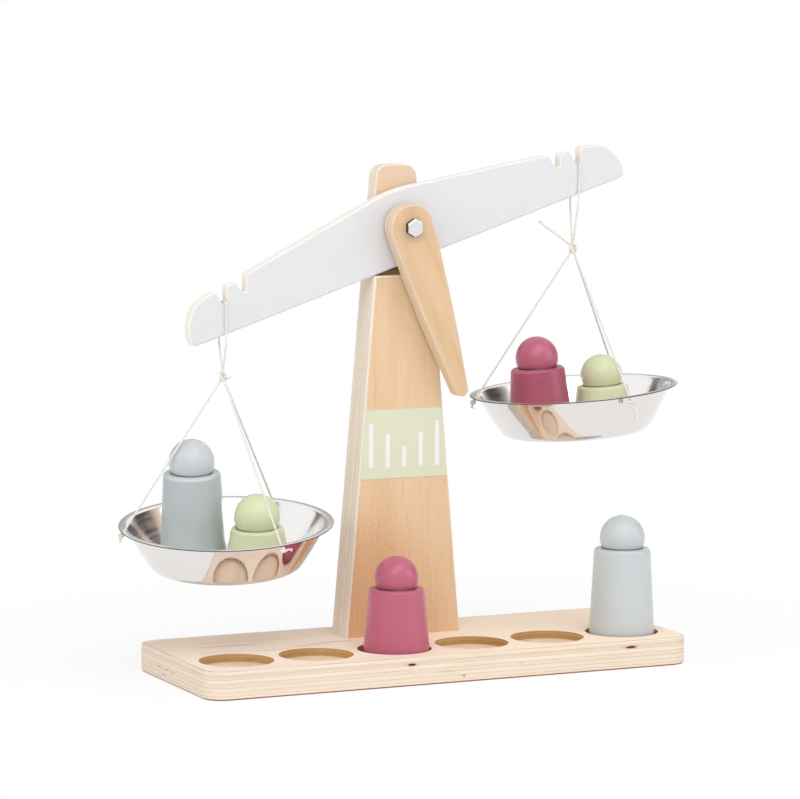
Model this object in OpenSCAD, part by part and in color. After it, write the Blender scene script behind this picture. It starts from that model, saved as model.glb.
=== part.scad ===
// Wooden balance scale toy: plywood stand, tilting beam with a pointer, two steel pans on
// cotton strings and six turned weights. Millimetres, +Z up, the stand rests on Z = 0 and its
// middle is at X = 0, Y = 0. The front, with the weight recesses, faces -Y.

/* [Base board] */
// Length of the base board
base_length = 330; // [326:1:380]
// Depth of the base board, front to back
base_depth = 127; // [124:1:160]
// Thickness of the base board
base_thickness = 18; // [15:0.5:24]
// Plan radius of the base board's corners
base_corner_r = 13; // [6:0.5:20]
// Radius of the base board's eased edges
base_edge_r = 1.5; // [0.5:0.1:3]
// Number of round recesses that store the weights
recess_count = 6; // [3:1:6]
// Diameter of a recess
recess_d = 46.6; // [45.4:0.1:50]
// Depth of a recess
recess_depth = 5; // [3:0.5:7]
// Distance from an end of the base board to the middle of the nearest recess
recess_end = 31.75; // [29:0.25:32]
// Distance of the row of recesses in front of the middle of the base
recess_row_y = 28.2; // [27:0.1:34]

/* [Post] */
// Thickness of the front board and of the back board
board_thickness = 12; // [10:0.5:15]
// Distance of the front board's front face behind the middle of the base
post_front_y = 16.7; // [14:0.1:20]
// Width of the post where it stands on the base
post_foot_width = 79.4; // [70:0.2:90]
// Width of the back board at its top
post_top_width = 28.2; // [26:0.2:36]
// Height of the back board above the base
back_board_height = 299.5; // [296:0.5:320]
// Height of the front board above the base
front_board_height = 230; // [200:0.5:230]
// Radius of the back board's top corners
post_top_r = 8; // [3:0.5:12]
// Width of the eased edges of both boards
board_edge = 0.8; // [0.3:0.1:1.5]

/* [Scale panel] */
// Height of the panel's lower edge above the base
panel_bottom = 101; // [95:1:110]
// Height of the panel
panel_height = 44; // [38:1:50]
// Thickness of the panel
panel_thickness = 0.3; // [0.2:0.05:0.5]
// Width of a tick mark
tick_width = 3; // [2:0.1:4]
// Distance between the middles of neighbouring tick marks
tick_pitch = 11.5; // [9:0.1:13]
// Height of the tick marks' lower ends above the panel's lower edge
tick_bottom = 7; // [4:0.5:9]
// Length of the outer tick marks
tick_outer_length = 28.5; // [24:0.5:29]
// Length of the tick marks between the outer ones and the middle one
tick_inner_length = 21.5; // [16:0.5:24]
// Length of the middle tick mark
tick_middle_length = 13; // [8:0.5:16]
// Thickness of a tick mark
tick_thickness = 0.25; // [0.15:0.05:0.4]

/* [Pivot] */
// Height of the pivot above the base
pivot_height = 261; // [261:0.5:266]
// Diameter of the pivot bolt
bolt_d = 6; // [5:0.5:8]
// Width across the flats of the bolt head and of the nut
hex_flats = 10; // [9:0.5:13]
// Thickness of the bolt head
bolt_head_thickness = 4; // [3:0.5:5]
// Thickness of the lock nut
nut_thickness = 6; // [4:0.5:8]
// Diameter of the washers
washer_d = 12; // [10:0.5:16]
// Thickness of a washer
washer_thickness = 1.2; // [0.8:0.1:2]
// Length of thread that stands out of the nut
bolt_end = 2; // [0:0.5:5]

/* [Beam] */
// Half of the beam's length
beam_half_length = 158.2; // [156:0.2:164]
// Height of the beam's peak above the pivot
beam_rise = 23.4; // [21:0.2:26]
// Depth of the beam's lower edge below the pivot
beam_drop = 22.8; // [20:0.1:22.8]
// Thickness of the beam
beam_thickness = 10; // [8:0.5:11]
// Tilt of the beam at rest, left end down
beam_tilt = 18.4; // [0:0.1:18.4]
// Distance of the outer notches from the pivot
outer_notch_x = 129.2; // [127:0.2:130]
// Distance of the inner notches from the pivot
inner_notch_x = 114.6; // [112:0.2:116]
// Depth of the outer notches' lowest point below the pivot's level
outer_notch_low = 4.2; // [3:0.1:6]
// Depth of the inner notches' lowest point below the pivot's level
inner_notch_low = 1.8; // [1:0.1:4]
// Radius of the bottom of a notch
notch_r = 2.1; // [1.6:0.1:2.6]
// Slope of a notch's sides away from straight up
notch_flare = 17; // [5:1:22]
// Radius of the rounded corners at a notch's mouth
notch_mouth_r = 2.2; // [1.4:0.1:2.6]
// Radius of the beam's rounded edges
beam_edge_r = 1.2; // [0.5:0.1:1.3]

/* [Pointer] */
// Length of the pointer from the pivot to its tip
pointer_length = 114; // [95:0.5:114]
// Radius of the pointer's round head
pointer_head_r = 14.5; // [12:0.1:16]
// Radius of the pointer's tip
pointer_tip_r = 4.2; // [2.5:0.1:5]
// Thickness of the pointer
pointer_thickness = 12; // [6:0.5:12]
// Radius of the pointer's rounded edges
pointer_edge_r = 0.8; // [0.3:0.1:1.5]
// Thickness of the spacer between the pointer and the beam
spacer_thickness = 2.5; // [1.5:0.1:4]
// Diameter of the spacer
spacer_d = 16; // [12:0.5:18]
// Diameter of the dowel that turns the pointer with the beam
dowel_d = 5; // [4:0.5:6]
// Depth of the dowel in the pointer and in the beam
dowel_depth = 6; // [4:0.5:7]
// Distance of the dowel below the pivot
dowel_drop = 13; // [12.5:0.5:15]

/* [Pans] */
// Outer diameter of a pan's rim
pan_d = 134.6; // [132:0.2:138]
// Width of a pan's flat lip
pan_lip = 4.2; // [3.8:0.1:6]
// Depth of a pan
pan_depth = 28.6; // [24:0.2:32]
// Radius where a pan's wall would meet its floor
pan_floor_r = 47; // [46.6:0.2:52]
// Inner radius of the bend between a pan's wall and its floor
pan_bend_r = 8; // [4:0.5:9]
// Radius under the bend between a pan's wall and its lip
pan_lip_bend_r = 1.2; // [0.6:0.1:1.6]
// Lean of a pan's bowed wall away from straight, at its lip and at its floor
pan_bow_angle = 3.1; // [0:0.1:4]
// Thickness of a pan's sheet
pan_wall = 0.6; // [0.4:0.05:1]
// Diameter of a string hole in the lip
string_hole_d = 2.3; // [2:0.1:3]

/* [Strings] */
// Diameter of the strings
string_d = 1.3; // [1:0.05:1.6]
// Diameter of the knot that joins the strings to a hanging loop
knot_d = 5.8; // [5:0.1:7]
// Diameter of the knots under a pan's lip
rim_knot_d = 4.2; // [3.6:0.1:4.4]
// Length of the left loop from its notch to its knot
left_loop_length = 47.2; // [40:0.1:60]
// Length of the right loop from its notch to its knot
right_loop_length = 56; // [50:0.1:66]
// Height of the left knot above the middle of the left pan's rim
left_pan_drop = 91.6; // [90:0.1:110]
// Height of the right knot above the middle of the right pan's rim
right_pan_drop = 90.5; // [90:0.1:110]

/* [Weights] */
// Diameter of the lower end of every weight
weight_bottom_d = 42.2; // [38:0.2:42.6]
// Diameter of the tall weights' shoulder
tall_shoulder_d = 36.2; // [32:0.2:38]
// Height of the tall weights' body
tall_body_height = 59; // [50:0.5:60]
// Diameter of the tall weights' ball
tall_ball_d = 28.8; // [26:0.2:29]
// Diameter of the medium weights' shoulder
medium_shoulder_d = 35; // [32:0.2:38]
// Height of the medium weights' body
medium_body_height = 43.2; // [36:0.2:50]
// Diameter of the medium weights' ball
medium_ball_d = 27.5; // [25:0.1:29]
// Diameter of the small weights' shoulder
small_shoulder_d = 33.6; // [31:0.2:37]
// Height of the small weights' body
small_body_height = 27.6; // [22:0.2:34]
// Diameter of the left small weight's ball
left_small_ball_d = 28.8; // [26:0.1:29]
// Diameter of the right small weight's ball
right_small_ball_d = 27; // [25:0.1:29]
// Height of a ball's middle above its body, as a share of the ball's radius
ball_seat_share = 0.46; // [0.3:0.02:0.6]
// Radius of the rounded shoulder of a weight
shoulder_r = 2.2; // [1:0.1:3]

/* [Hidden] */
$fn = 96;
// Gap of a piece that turns on a round shaft, on the radius
running_gap = 0.08;
// Gap between a fixed screw, bolt or dowel and its hole, on the radius
fixed_gap = 0.05;
// Gap between a string and what it lies on, and between moving pieces that lie close
string_gap = 0.3;
// Gap under a weight that stands on its flat lower end
stand_gap = 0.1;
// Extra length of a cut past the face that it leaves
over = 1;

// Heights and depths of the stand
base_top = base_thickness;
post_back_y = post_front_y + board_thickness;
pivot_z = base_top + pivot_height;
taper = (post_foot_width - post_top_width) / 2 / back_board_height;
function post_half(height) = post_foot_width / 2 - taper * height;

// Depths of the pieces on the bolt, from the back board to the front
beam_back_y = post_back_y - washer_thickness;
beam_front_y = beam_back_y - beam_thickness;
beam_middle_y = (beam_back_y + beam_front_y) / 2;
pointer_back_y = beam_front_y - spacer_thickness;
pointer_front_y = pointer_back_y - pointer_thickness;
nut_front_y = post_back_y + board_thickness + washer_thickness;
nut_round_share = 0.56;
bolt_r = bolt_d / 2;
turning_r = bolt_r + running_gap;
fixed_r = bolt_r + fixed_gap;

// Wood screws that hold the post to the base, two in each board
screw_d = 4;
screw_head_d = 8;
screw_length = 40;
screw_sink = 0.5;
screw_x_share = 0.55;
screw_head_depth = (screw_head_d - screw_d) / 2;

// Half of the beam's outline, from the peak to the lower edge: shares of its half length and
// of its rise or drop, and a share beyond the last one that guides the curve
beam_top_shares = [[0, 1], [0.04, 0.992], [0.08, 0.966], [0.19, 0.86], [0.316, 0.74],
    [0.442, 0.615], [0.6, 0.453], [0.686, 0.352], [0.705, 0.32], [0.735, 0.275], [0.765, 0.252],
    [0.81, 0.248], [0.85, 0.222], [0.885, 0.179], [0.923, 0.094], [0.948, 0]];
beam_end_shares = [[0.967, 0.154], [0.985, 0.351], [0.995, 0.55], [1, 0.76], [0.9985, 0.88],
    [0.992, 0.96], [0.98, 1]];
beam_guide_share = [0.968, 1];
beam_half_points = concat(
    [for (p = beam_top_shares) [p[0] * beam_half_length, p[1] * beam_rise]],
    [for (p = beam_end_shares) [p[0] * beam_half_length, -p[1] * beam_drop]]);

// Half widths of the pointer below its head: shares of its length and of its head radius
pointer_shares = [[0.17, 0.93], [0.333, 0.834], [0.425, 0.772], [0.544, 0.69], [0.67, 0.585],
    [0.78, 0.476], [0.895, 0.3605]];

// Where a hanging loop lies in its outer notch, and the knot and the pan below it
string_r = string_d / 2;
loop_low = outer_notch_low - string_r - string_gap;
function beam_place(x, z) = [x * cos(beam_tilt) - z * sin(beam_tilt),
    pivot_z + x * sin(beam_tilt) + z * cos(beam_tilt)];
left_notch = beam_place(-outer_notch_x, -loop_low);
right_notch = beam_place(outer_notch_x, -loop_low);
left_knot_shift = 0.2;
right_knot_shift = -1.6;
left_knot_place = [left_notch[0] + left_knot_shift, beam_middle_y,
    left_notch[1] - left_loop_length];
right_knot_place = [right_notch[0] + right_knot_shift, beam_middle_y,
    right_notch[1] - right_loop_length];

// How a loop bends round the edge of its notch, in shares of the string's distance from it,
// and how far apart its ends are at the knot
loop_bend_shares = [[0, 2], [0.1, 1], [0.4, 0.35], [1.1, 0]];
loop_end_share = 0.65;
// Slant of a knot's turns, and the loose ends of the knots
knot_wrap_angle = 12;
rim_tail_angle = 12;
rim_tail_share = 1.6;
tail_route = [[-1.5, 0, 2], [-6, -0.5, 5.5], [-12, -1, 9.5], [-18, -1, 13.5], [-24, -1, 17.8]];

// The middle of each rim beside its knot, and the small tilt that its load gives each pan
left_pan_shift = [1.1, -2];
right_pan_shift = [0.6, -0.9];
left_pan_tilt = [5.8, -3.4, 0];
right_pan_tilt = [-0.6, -4.2, 0];
left_pan_place = [left_knot_place[0] + left_pan_shift[0],
    left_knot_place[1] + left_pan_shift[1], left_knot_place[2] - left_pan_drop];
right_pan_place = [right_knot_place[0] + right_pan_shift[0],
    right_knot_place[1] + right_pan_shift[1], right_knot_place[2] - right_pan_drop];

// String holes: their angles round the left pan's rim and round the right one's, which hangs
// turned a little, and their circle in the middle of the lip
string_angles = [171, 279, 41];
right_pan_turn = -2.7;
right_string_angles = [for (a = string_angles) a + right_pan_turn];
string_hole_r = pan_d / 2 - pan_lip / 2;

// Angle round the pan between the left string and the tall weight: wider in a smaller pan,
// where the string passes the weight's shoulder nearer to the pan's middle
tall_string_reach = 31.32;
string_pass_inset = 12;
string_pass_r = pan_d / 2 - string_pass_inset;
tall_string_angle = asin(tall_string_reach / string_pass_r);

// Places of the weights in the pans: distance from the pan's middle and angle round it
left_tall_polar = [22.4, string_angles[0] - tall_string_angle];
left_small_polar = [22, -51];
right_medium_polar = [22.3, 157];
right_small_polar = [22.1, 6];
// The recesses that hold the stored weights, counted from the left, and a small offset
stored_medium_index = floor((recess_count - 1) / 2);
stored_tall_index = recess_count - 1;
stored_medium_shift = 1.4;

wood = "#e6cdb4";
paint_white = "#e7e7e9";
steel = "#b8babd";
cotton = "#e8e0d2";
blue_grey = "#c4ced0";
rose = "#be6480";
green = "#cddaa5";

// A list in the opposite order, its last item, and points of an arc

function reversed(list) = [for (i = [len(list) - 1:-1:0]) list[i]];
function last_of(list) = list[len(list) - 1];
function arc(centre, radius, from, to, steps) =
    [for (i = [0:steps]) let (a = from + (to - from) * i / steps)
        centre + radius * [cos(a), sin(a)]];

// A smooth curve through points, whose first and last only guide it: `steps` points to a span
function smooth_curve(points, steps) = [
    for (i = [1:len(points) - 3], k = [0:steps - 1]) let (t = k / steps,
        a = points[i - 1], b = points[i], c = points[i + 1], d = points[i + 2])
        (2 * b + (c - a) * t + (2 * a - 5 * b + 4 * c - d) * t ^ 2
            + (3 * b - a - 3 * c + d) * t ^ 3) / 2,
    points[len(points) - 2]];

// Points of the arc that rounds a corner between the ways to two other points
function rounded_corner(before, corner, after, radius, steps) = let (
    u = unit(before - corner), v = unit(after - corner), half = acos(u * v) / 2,
    centre = corner + unit(u + v) * radius / sin(half),
    start = corner + u * radius / tan(half) - centre,
    finish = corner + v * radius / tan(half) - centre,
    from = atan2(start[1], start[0]), turn = atan2(finish[1], finish[0]) - from)
    arc(centre, radius, from, from + turn - 360 * round(turn / 360), steps);

// An outline that runs clockwise, moved inwards by an inset
function inset_outline(outline, inset) = let (count = len(outline))
    [for (i = [0:count - 1]) let (
        into = unit(outline[i] - outline[(i + count - 1) % count]),
        out = unit(outline[(i + 1) % count] - outline[i]),
        a = [into[1], -into[0]], b = [out[1], -out[0]])
        outline[i] + inset * (a + b) / (1 + a * b)];

// Flat shapes

module rounded_rectangle(length, depth, radius) {
    square([length - 2 * radius, depth], center = true);
    square([length, depth - 2 * radius], center = true);
    for (x = [-1, 1], y = [-1, 1])
        translate([x * (length / 2 - radius), y * (depth / 2 - radius)]) circle(r = radius);
}

// A slab whose upper and lower edges are rounded in three steps
module eased_slab(length, depth, height, corner, edge) {
    hull() for (a = [0, 30, 60, 90]) {
        inset = edge * (1 - cos(a));
        rise = edge * (1 - sin(a));
        translate([0, 0, rise]) linear_extrude(height - 2 * rise)
            rounded_rectangle(length - 2 * inset, depth - 2 * inset, corner - inset, $fn = 40);
    }
}

// Stands a flat shape, drawn with its height along Y, up on the base with its front at y
module upright(y, thickness) {
    translate([0, y + thickness, 0]) rotate([90, 0, 0]) linear_extrude(thickness) children();
}

// An upright plate from y with rounded edges. Its outline runs clockwise along `side` and back
// along `other`, which has a point across from each point of `side` but the first and the last
module eased_plate(side, other, y, thickness, edge) {
    outline = concat(side, reversed(other));
    count = len(outline);
    tip = len(side) - 1;
    angles = [90, 45, 0];
    rings = concat([for (a = angles) [edge * (1 - cos(a)), edge * (1 - sin(a))]],
        [for (a = reversed(angles)) [edge * (1 - cos(a)), thickness - edge * (1 - sin(a))]]);
    last = len(rings) - 1;
    points = [for (r = rings) each [for (p = inset_outline(outline, r[0])) [p[0], y + r[1], p[1]]]];
    walls = [for (i = [0:last - 1], k = [0:count - 1]) let (n = (k + 1) % count)
        [i * count + k, i * count + n, (i + 1) * count + n, (i + 1) * count + k]];
    face = concat([[0, 1, count - 1]], [for (i = [1:tip - 2]) [i, i + 1, count - i - 1, count - i]],
        [[tip - 1, tip, tip + 1]]);
    polyhedron(points, concat(walls, [for (f = face) reversed(f)],
        [for (f = face) [for (k = f) last * count + k]]));
}

// A cylinder along Y from y
module rod(y, length, radius) {
    translate([0, y + length, 0]) rotate([90, 0, 0]) cylinder(h = length, r = radius);
}

// Base

recess_pitch = (base_length - 2 * recess_end) / (recess_count - 1);
function recess_x(i) = (i - (recess_count - 1) / 2) * recess_pitch;

module at_screws() {
    for (x = [-1, 1], y = [post_front_y, post_back_y])
        translate([x * screw_x_share * post_foot_width / 2, y + board_thickness / 2, 0]) children();
}

// A countersunk screw, its head sunk in the underside of the base
module screw(gap) {
    translate([0, 0, screw_sink]) {
        cylinder(h = screw_length + gap, r = screw_d / 2 + gap);
        cylinder(h = screw_head_depth, r1 = screw_head_d / 2 + gap, r2 = screw_d / 2 + gap);
    }
}

module screw_hole() {
    screw(fixed_gap);
    translate([0, 0, screw_sink - over]) cylinder(h = over, r = screw_head_d / 2 + fixed_gap);
}

module base_board() {
    color(wood) difference() {
        eased_slab(base_length, base_depth, base_thickness, base_corner_r, base_edge_r);
        for (i = [0:recess_count - 1])
            translate([recess_x(i), -recess_row_y, base_top - recess_depth])
                cylinder(h = recess_depth + over, r = recess_d / 2);
        at_screws() screw_hole();
    }
}

module base_screws() {
    color(steel) at_screws() screw(0);
}

// Post

// Outline of a board: its inset makes the narrower faces of the eased edges
module board_outline(height, inset, corner) {
    half_foot = post_half(0) - inset;
    half_top = post_half(height) - inset;
    top = height - inset;
    polygon(concat([[-half_foot, 0], [half_foot, 0]],
        corner > 0
            ? concat([for (a = [0:15:90]) [half_top - corner + corner * cos(a),
                    top - corner + corner * sin(a)]],
                [for (a = [90:15:180]) [corner - half_top + corner * cos(a),
                    top - corner + corner * sin(a)]])
            : [[half_top, top], [-half_top, top]]));
}

module eased_board(y, height, corner) {
    translate([0, 0, base_top]) hull() {
        upright(y + board_edge, board_thickness - 2 * board_edge) board_outline(height, 0, corner);
        upright(y, board_thickness) board_outline(height, board_edge, max(corner - board_edge, 0));
    }
}

module back_board() {
    color(wood) difference() {
        eased_board(post_back_y, back_board_height, post_top_r);
        translate([0, 0, pivot_z]) rod(post_back_y - over, board_thickness + 2 * over, fixed_r);
        at_screws() screw_hole();
    }
}

module front_board() {
    color(wood) difference() {
        eased_board(post_front_y, front_board_height, 0);
        at_screws() screw_hole();
    }
}

// Scale panel

module scale_panel() {
    panel_top = panel_bottom + panel_height;
    color("#e0e2c8") translate([0, 0, base_top])
        upright(post_front_y - panel_thickness, panel_thickness) polygon([
            [board_edge - post_half(panel_bottom), panel_bottom],
            [post_half(panel_bottom) - board_edge, panel_bottom],
            [post_half(panel_top) - board_edge, panel_top],
            [board_edge - post_half(panel_top), panel_top]]);
}

module scale_marks() {
    lengths = [tick_outer_length, tick_inner_length, tick_middle_length, tick_inner_length,
        tick_outer_length];
    middle = (len(lengths) - 1) / 2;
    color(paint_white) translate([0, 0, base_top])
        for (i = [0:len(lengths) - 1])
            upright(post_front_y - panel_thickness - tick_thickness, tick_thickness)
                translate([(i - middle) * tick_pitch - tick_width / 2, panel_bottom + tick_bottom])
                    square([tick_width, lengths[i]]);
}

// Beam, drawn level with its pivot at the origin and then tilted about the bolt

module on_pivot() {
    translate([0, 0, pivot_z]) rotate([0, -beam_tilt, 0]) children();
}

beam_curve = smooth_curve(concat([[-beam_half_points[1][0], beam_half_points[1][1]]],
    beam_half_points,
    [[beam_guide_share[0] * beam_half_length, -beam_guide_share[1] * beam_drop]]), 2);
beam_end_x = max([for (p = beam_curve) p[0]]);
beam_end_z = [for (p = beam_curve) if (p[0] == beam_end_x) p[1]][0];
crest_points = [for (p = beam_curve) if (p[1] > 0) p];
function crest(x) = lookup(x, crest_points);
function crest_point(x) = [x, crest(x)];

// Where a side of a notch, 1 or -1, starts on the round bottom and where it meets the crest,
// whose slope there is taken over a short reach
slope_reach = 1;
notch_side_x = notch_r * cos(notch_flare);
function notch_foot_z(low) = notch_r - low - notch_r * sin(notch_flare);
function notch_foot(x, low, side) = [x + side * notch_side_x, notch_foot_z(low)];
function notch_mouth(x, low, side, z) =
    crest_point(x + side * (notch_side_x + (z - notch_foot_z(low)) * tan(notch_flare)));
function notch_corner(x, low, side) =
    notch_mouth(x, low, side, notch_mouth(x, low, side, crest(x))[1]);
function notch_outline(x, low) = let (
    near = notch_corner(x, low, -1), far = notch_corner(x, low, 1),
    before = crest_point(near[0] - slope_reach), after = crest_point(far[0] + slope_reach))
    concat(
        rounded_corner(before, near, notch_foot(x, low, -1), notch_mouth_r, 4),
        arc([x, notch_r - low], notch_r, 180 + notch_flare, 360 - notch_flare, 10),
        rounded_corner(notch_foot(x, low, 1), far, after, notch_mouth_r, 4));

// Half of the beam's outline, its crest cut by the two notches, whose rounded corners keep a
// little apart from the crest's own points
notch_gap_x = 0.2;
inner_notch = notch_outline(inner_notch_x, inner_notch_low);
outer_notch = notch_outline(outer_notch_x, outer_notch_low);
function first_x(list) = list[0][0];
function last_x(list) = last_of(list)[0];
crest_before = [for (p = crest_points) if (p[0] < first_x(inner_notch) - notch_gap_x) p];
crest_between = [for (p = crest_points)
    if (p[0] > last_x(inner_notch) + notch_gap_x && p[0] < first_x(outer_notch) - notch_gap_x) p];
crest_after = [for (p = crest_points) if (p[0] > last_x(outer_notch) + notch_gap_x) p];
beam_half = concat(crest_before, inner_notch, crest_between, outer_notch, crest_after,
    [for (p = beam_curve) if (p[1] <= 0 && p[1] >= beam_end_z) p]);
beam_upper = concat([for (i = [len(beam_half) - 1:-1:1]) [-beam_half[i][0], beam_half[i][1]]],
    beam_half);
beam_under_points = [for (p = beam_curve) if (p[1] <= beam_end_z) p];
beam_lower = [for (i = [1:len(beam_upper) - 2])
    [beam_upper[i][0], lookup(abs(beam_upper[i][0]), beam_under_points)]];

module beam() {
    color(paint_white) on_pivot() difference() {
        eased_plate(beam_upper, beam_lower, beam_front_y, beam_thickness, beam_edge_r);
        rod(beam_front_y - over, beam_thickness + 2 * over, turning_r);
        translate([0, 0, -dowel_drop])
            rod(beam_front_y - over, dowel_depth + over + fixed_gap, dowel_d / 2 + fixed_gap);
    }
}

// Pointer

// One side of the pointer, from the top of its head to the end of its tip
pointer_tip_start = -6;
pointer_side = concat(
    arc([0, 0], pointer_head_r, 90, 0, 16),
    [for (p = pointer_shares) [p[1] * pointer_head_r, -p[0] * pointer_length]],
    arc([0, pointer_tip_r - pointer_length], pointer_tip_r, pointer_tip_start, -90, 8));
pointer_other = [for (i = [1:len(pointer_side) - 2]) [-pointer_side[i][0], pointer_side[i][1]]];

module pointer() {
    color(wood) on_pivot() difference() {
        eased_plate(pointer_side, pointer_other, pointer_front_y, pointer_thickness,
            pointer_edge_r);
        rod(pointer_front_y - over, pointer_thickness + 2 * over, turning_r);
        translate([0, 0, -dowel_drop])
            rod(pointer_back_y - dowel_depth - fixed_gap, dowel_depth + over + fixed_gap,
                dowel_d / 2 + fixed_gap);
    }
}

module pointer_spacer() {
    color(wood) on_pivot() difference() {
        rod(pointer_back_y, spacer_thickness, spacer_d / 2);
        rod(pointer_back_y - over, spacer_thickness + 2 * over, turning_r);
    }
}

module pointer_dowel() {
    color(wood) on_pivot() translate([0, 0, -dowel_drop])
        rod(pointer_back_y - dowel_depth, spacer_thickness + 2 * dowel_depth, dowel_d / 2);
}

// Bolt, washers and nut

module hex_rod(y, length) {
    translate([0, y + length, 0]) rotate([90, 0, 0])
        cylinder(h = length, r = hex_flats / 2 / cos(30), $fn = 6);
}

module washer(y) {
    translate([0, 0, pivot_z]) difference() {
        rod(y, washer_thickness, washer_d / 2);
        rod(y - over, washer_thickness + 2 * over, fixed_r);
    }
}

module pivot_bolt() {
    color(steel) translate([0, 0, pivot_z]) {
        rotate([0, 30, 0]) hex_rod(pointer_front_y - bolt_head_thickness, bolt_head_thickness);
        rod(pointer_front_y - bolt_head_thickness / 2, nut_front_y + nut_thickness + bolt_end
            - pointer_front_y + bolt_head_thickness / 2, bolt_r);
    }
}

module beam_washer() {
    color(steel) washer(beam_back_y);
}

module rear_washer() {
    color(steel) washer(nut_front_y - washer_thickness);
}

module lock_nut() {
    color(steel) translate([0, 0, pivot_z]) difference() {
        intersection() {
            hex_rod(nut_front_y, nut_thickness);
            rod(nut_front_y, nut_thickness, hex_flats * nut_round_share);
        }
        rod(nut_front_y - over, nut_thickness + 2 * over, fixed_r);
    }
}

// Strings: a tube swept along a route, its rings square to the route and kept free of twist

function unit(v) = v / norm(v);
function heading(route, i) = i == 0 ? unit(route[1] - route[0])
    : i == len(route) - 1 ? unit(route[i] - route[i - 1])
    : unit(unit(route[i + 1] - route[i]) + unit(route[i] - route[i - 1]));
function ring_points(centre, along, radius, sides) =
    let (side_axis = unit(cross(along, [1, 0.01, 0])), other_axis = cross(along, side_axis))
    [for (k = [0:sides - 1]) centre + radius * (cos(360 * k / sides) * side_axis
        + sin(360 * k / sides) * other_axis)];

module swept_string(route, sides) {
    last = len(route) - 1;
    points = [for (i = [0:last]) each ring_points(route[i], heading(route, i), string_r, sides)];
    walls = [for (i = [0:last - 1], k = [0:sides - 1])
        [(i + 1) * sides + k, (i + 1) * sides + (k + 1) % sides, i * sides + (k + 1) % sides,
            i * sides + k]];
    polyhedron(points, concat(walls, [[for (k = [0:sides - 1]) k]],
        [[for (k = [sides - 1:-1:0]) last * sides + k]]));
}

// A loop hangs over its notch, runs down both faces of the beam and closes at its knot
module hanging_loop(notch_place, knot_place) {
    turn = string_gap + string_r;
    face = beam_thickness / 2 + turn;
    fall = (beam_drop + turn) / cos(beam_tilt) + string_d;
    middle = [notch_place[0], beam_middle_y, notch_place[1]];
    below = knot_place - middle;
    finish = below + [0, string_d * loop_end_share, knot_d / 2];
    strand = concat([finish, [-below[0] * fall / below[2], face, -fall]],
        [for (s = loop_bend_shares) [0, face - s[0] * turn, -s[1] * turn]]);
    color(cotton) translate(middle)
        swept_string(concat(strand, [for (p = reversed(strand)) [p[0], -p[1], p[2]]]), 8);
}

module tied_knot(place, diameter) {
    translate(place) {
        sphere(d = diameter - string_r, $fn = 32);
        for (side = [-1, 1])
            translate([0, 0, side * string_r]) rotate([side * knot_wrap_angle, 0, 0])
                rotate_extrude($fn = 32)
                    translate([diameter / 2 - string_r, 0]) circle(r = string_r, $fn = 16);
    }
}

module left_loop() {
    hanging_loop(left_notch, left_knot_place);
}

module left_knot() {
    color(cotton) tied_knot(left_knot_place, knot_d);
}

module right_loop() {
    hanging_loop(right_notch, right_knot_place);
}

module right_knot() {
    color(cotton) {
        tied_knot(right_knot_place, knot_d);
        translate(right_knot_place) swept_string(tail_route, 8);
    }
}

// Pans, drawn with the rim's upper face at Z = 0

// Points of the bend between a wall and a floor, from the floor to the foot of the bowed wall
pan_outer_corner = pan_floor_r;
pan_top_r = pan_d / 2 - pan_lip;
wall_slope = atan2(pan_depth, pan_top_r - pan_outer_corner);
function bend_points(corner_r, low, radius) =
    let (reach = radius * tan(wall_slope / 2), centre = [corner_r - reach, low + radius])
    arc(centre, radius, -90, wall_slope - pan_bow_angle - 90, 6);

// Points of a wall that bows outwards between two points, without them
function bowed(from, to, steps) =
    let (way = to - from, bow = norm(way) * tan(pan_bow_angle) / 4, out = unit([way[1], -way[0]]))
    [for (i = [1:steps - 1]) let (t = i / steps) from + t * way + 4 * t * (1 - t) * bow * out];

module pan_shell() {
    half_turn = tan(wall_slope / 2);
    lip_centre = [pan_top_r - pan_wall / tan(wall_slope) + pan_lip_bend_r * half_turn,
        -pan_wall - pan_lip_bend_r];
    lip_angle = wall_slope + pan_bow_angle + 90;
    outer_bend = bend_points(pan_outer_corner, -pan_depth, pan_bend_r + pan_wall);
    inner_bend = bend_points(pan_outer_corner - pan_wall * half_turn, pan_wall - pan_depth,
        pan_bend_r);
    under_lip = arc(lip_centre, pan_lip_bend_r, lip_angle, 90, 4);
    over_lip = arc(lip_centre, pan_lip_bend_r + pan_wall, 90, lip_angle, 4);
    rotate_extrude($fn = 128) polygon(concat(
        [[0, -pan_depth]],
        outer_bend,
        bowed(last_of(outer_bend), under_lip[0], 6),
        under_lip,
        arc([pan_d / 2 - pan_wall / 2, -pan_wall / 2], pan_wall / 2, -90, 90, 6),
        over_lip,
        reversed(bowed(last_of(inner_bend), last_of(over_lip), 6)),
        reversed(inner_bend),
        [[0, pan_wall - pan_depth]]));
}

module pan(angles) {
    difference() {
        pan_shell();
        for (a = angles)
            rotate([0, 0, a]) translate([string_hole_r, 0, -pan_wall - over])
                cylinder(h = pan_wall + 2 * over, r = string_hole_d / 2, $fn = 32);
    }
}

module left_pan() {
    color(steel) translate(left_pan_place) rotate(left_pan_tilt) pan(string_angles);
}

module right_pan() {
    color(steel) translate(right_pan_place) rotate(right_pan_tilt) pan(right_string_angles);
}

// A point of a tilted pan's own frame in the frame of the whole object
function turned(p, tilt) =
    let (x = p[0], y = p[1] * cos(tilt[0]) - p[2] * sin(tilt[0]),
        z = p[1] * sin(tilt[0]) + p[2] * cos(tilt[0]))
    [x * cos(tilt[1]) + z * sin(tilt[1]), y, z * cos(tilt[1]) - x * sin(tilt[1])];
function hole_place(angle, place, tilt) = place + turned([string_hole_r * cos(angle),
    string_hole_r * sin(angle), -pan_wall / 2], tilt);

// Distance past the lip at which a rim knot has its middle
rim_knot_reach = rim_knot_d / 2 + pan_wall + 2 * string_gap;

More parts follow.
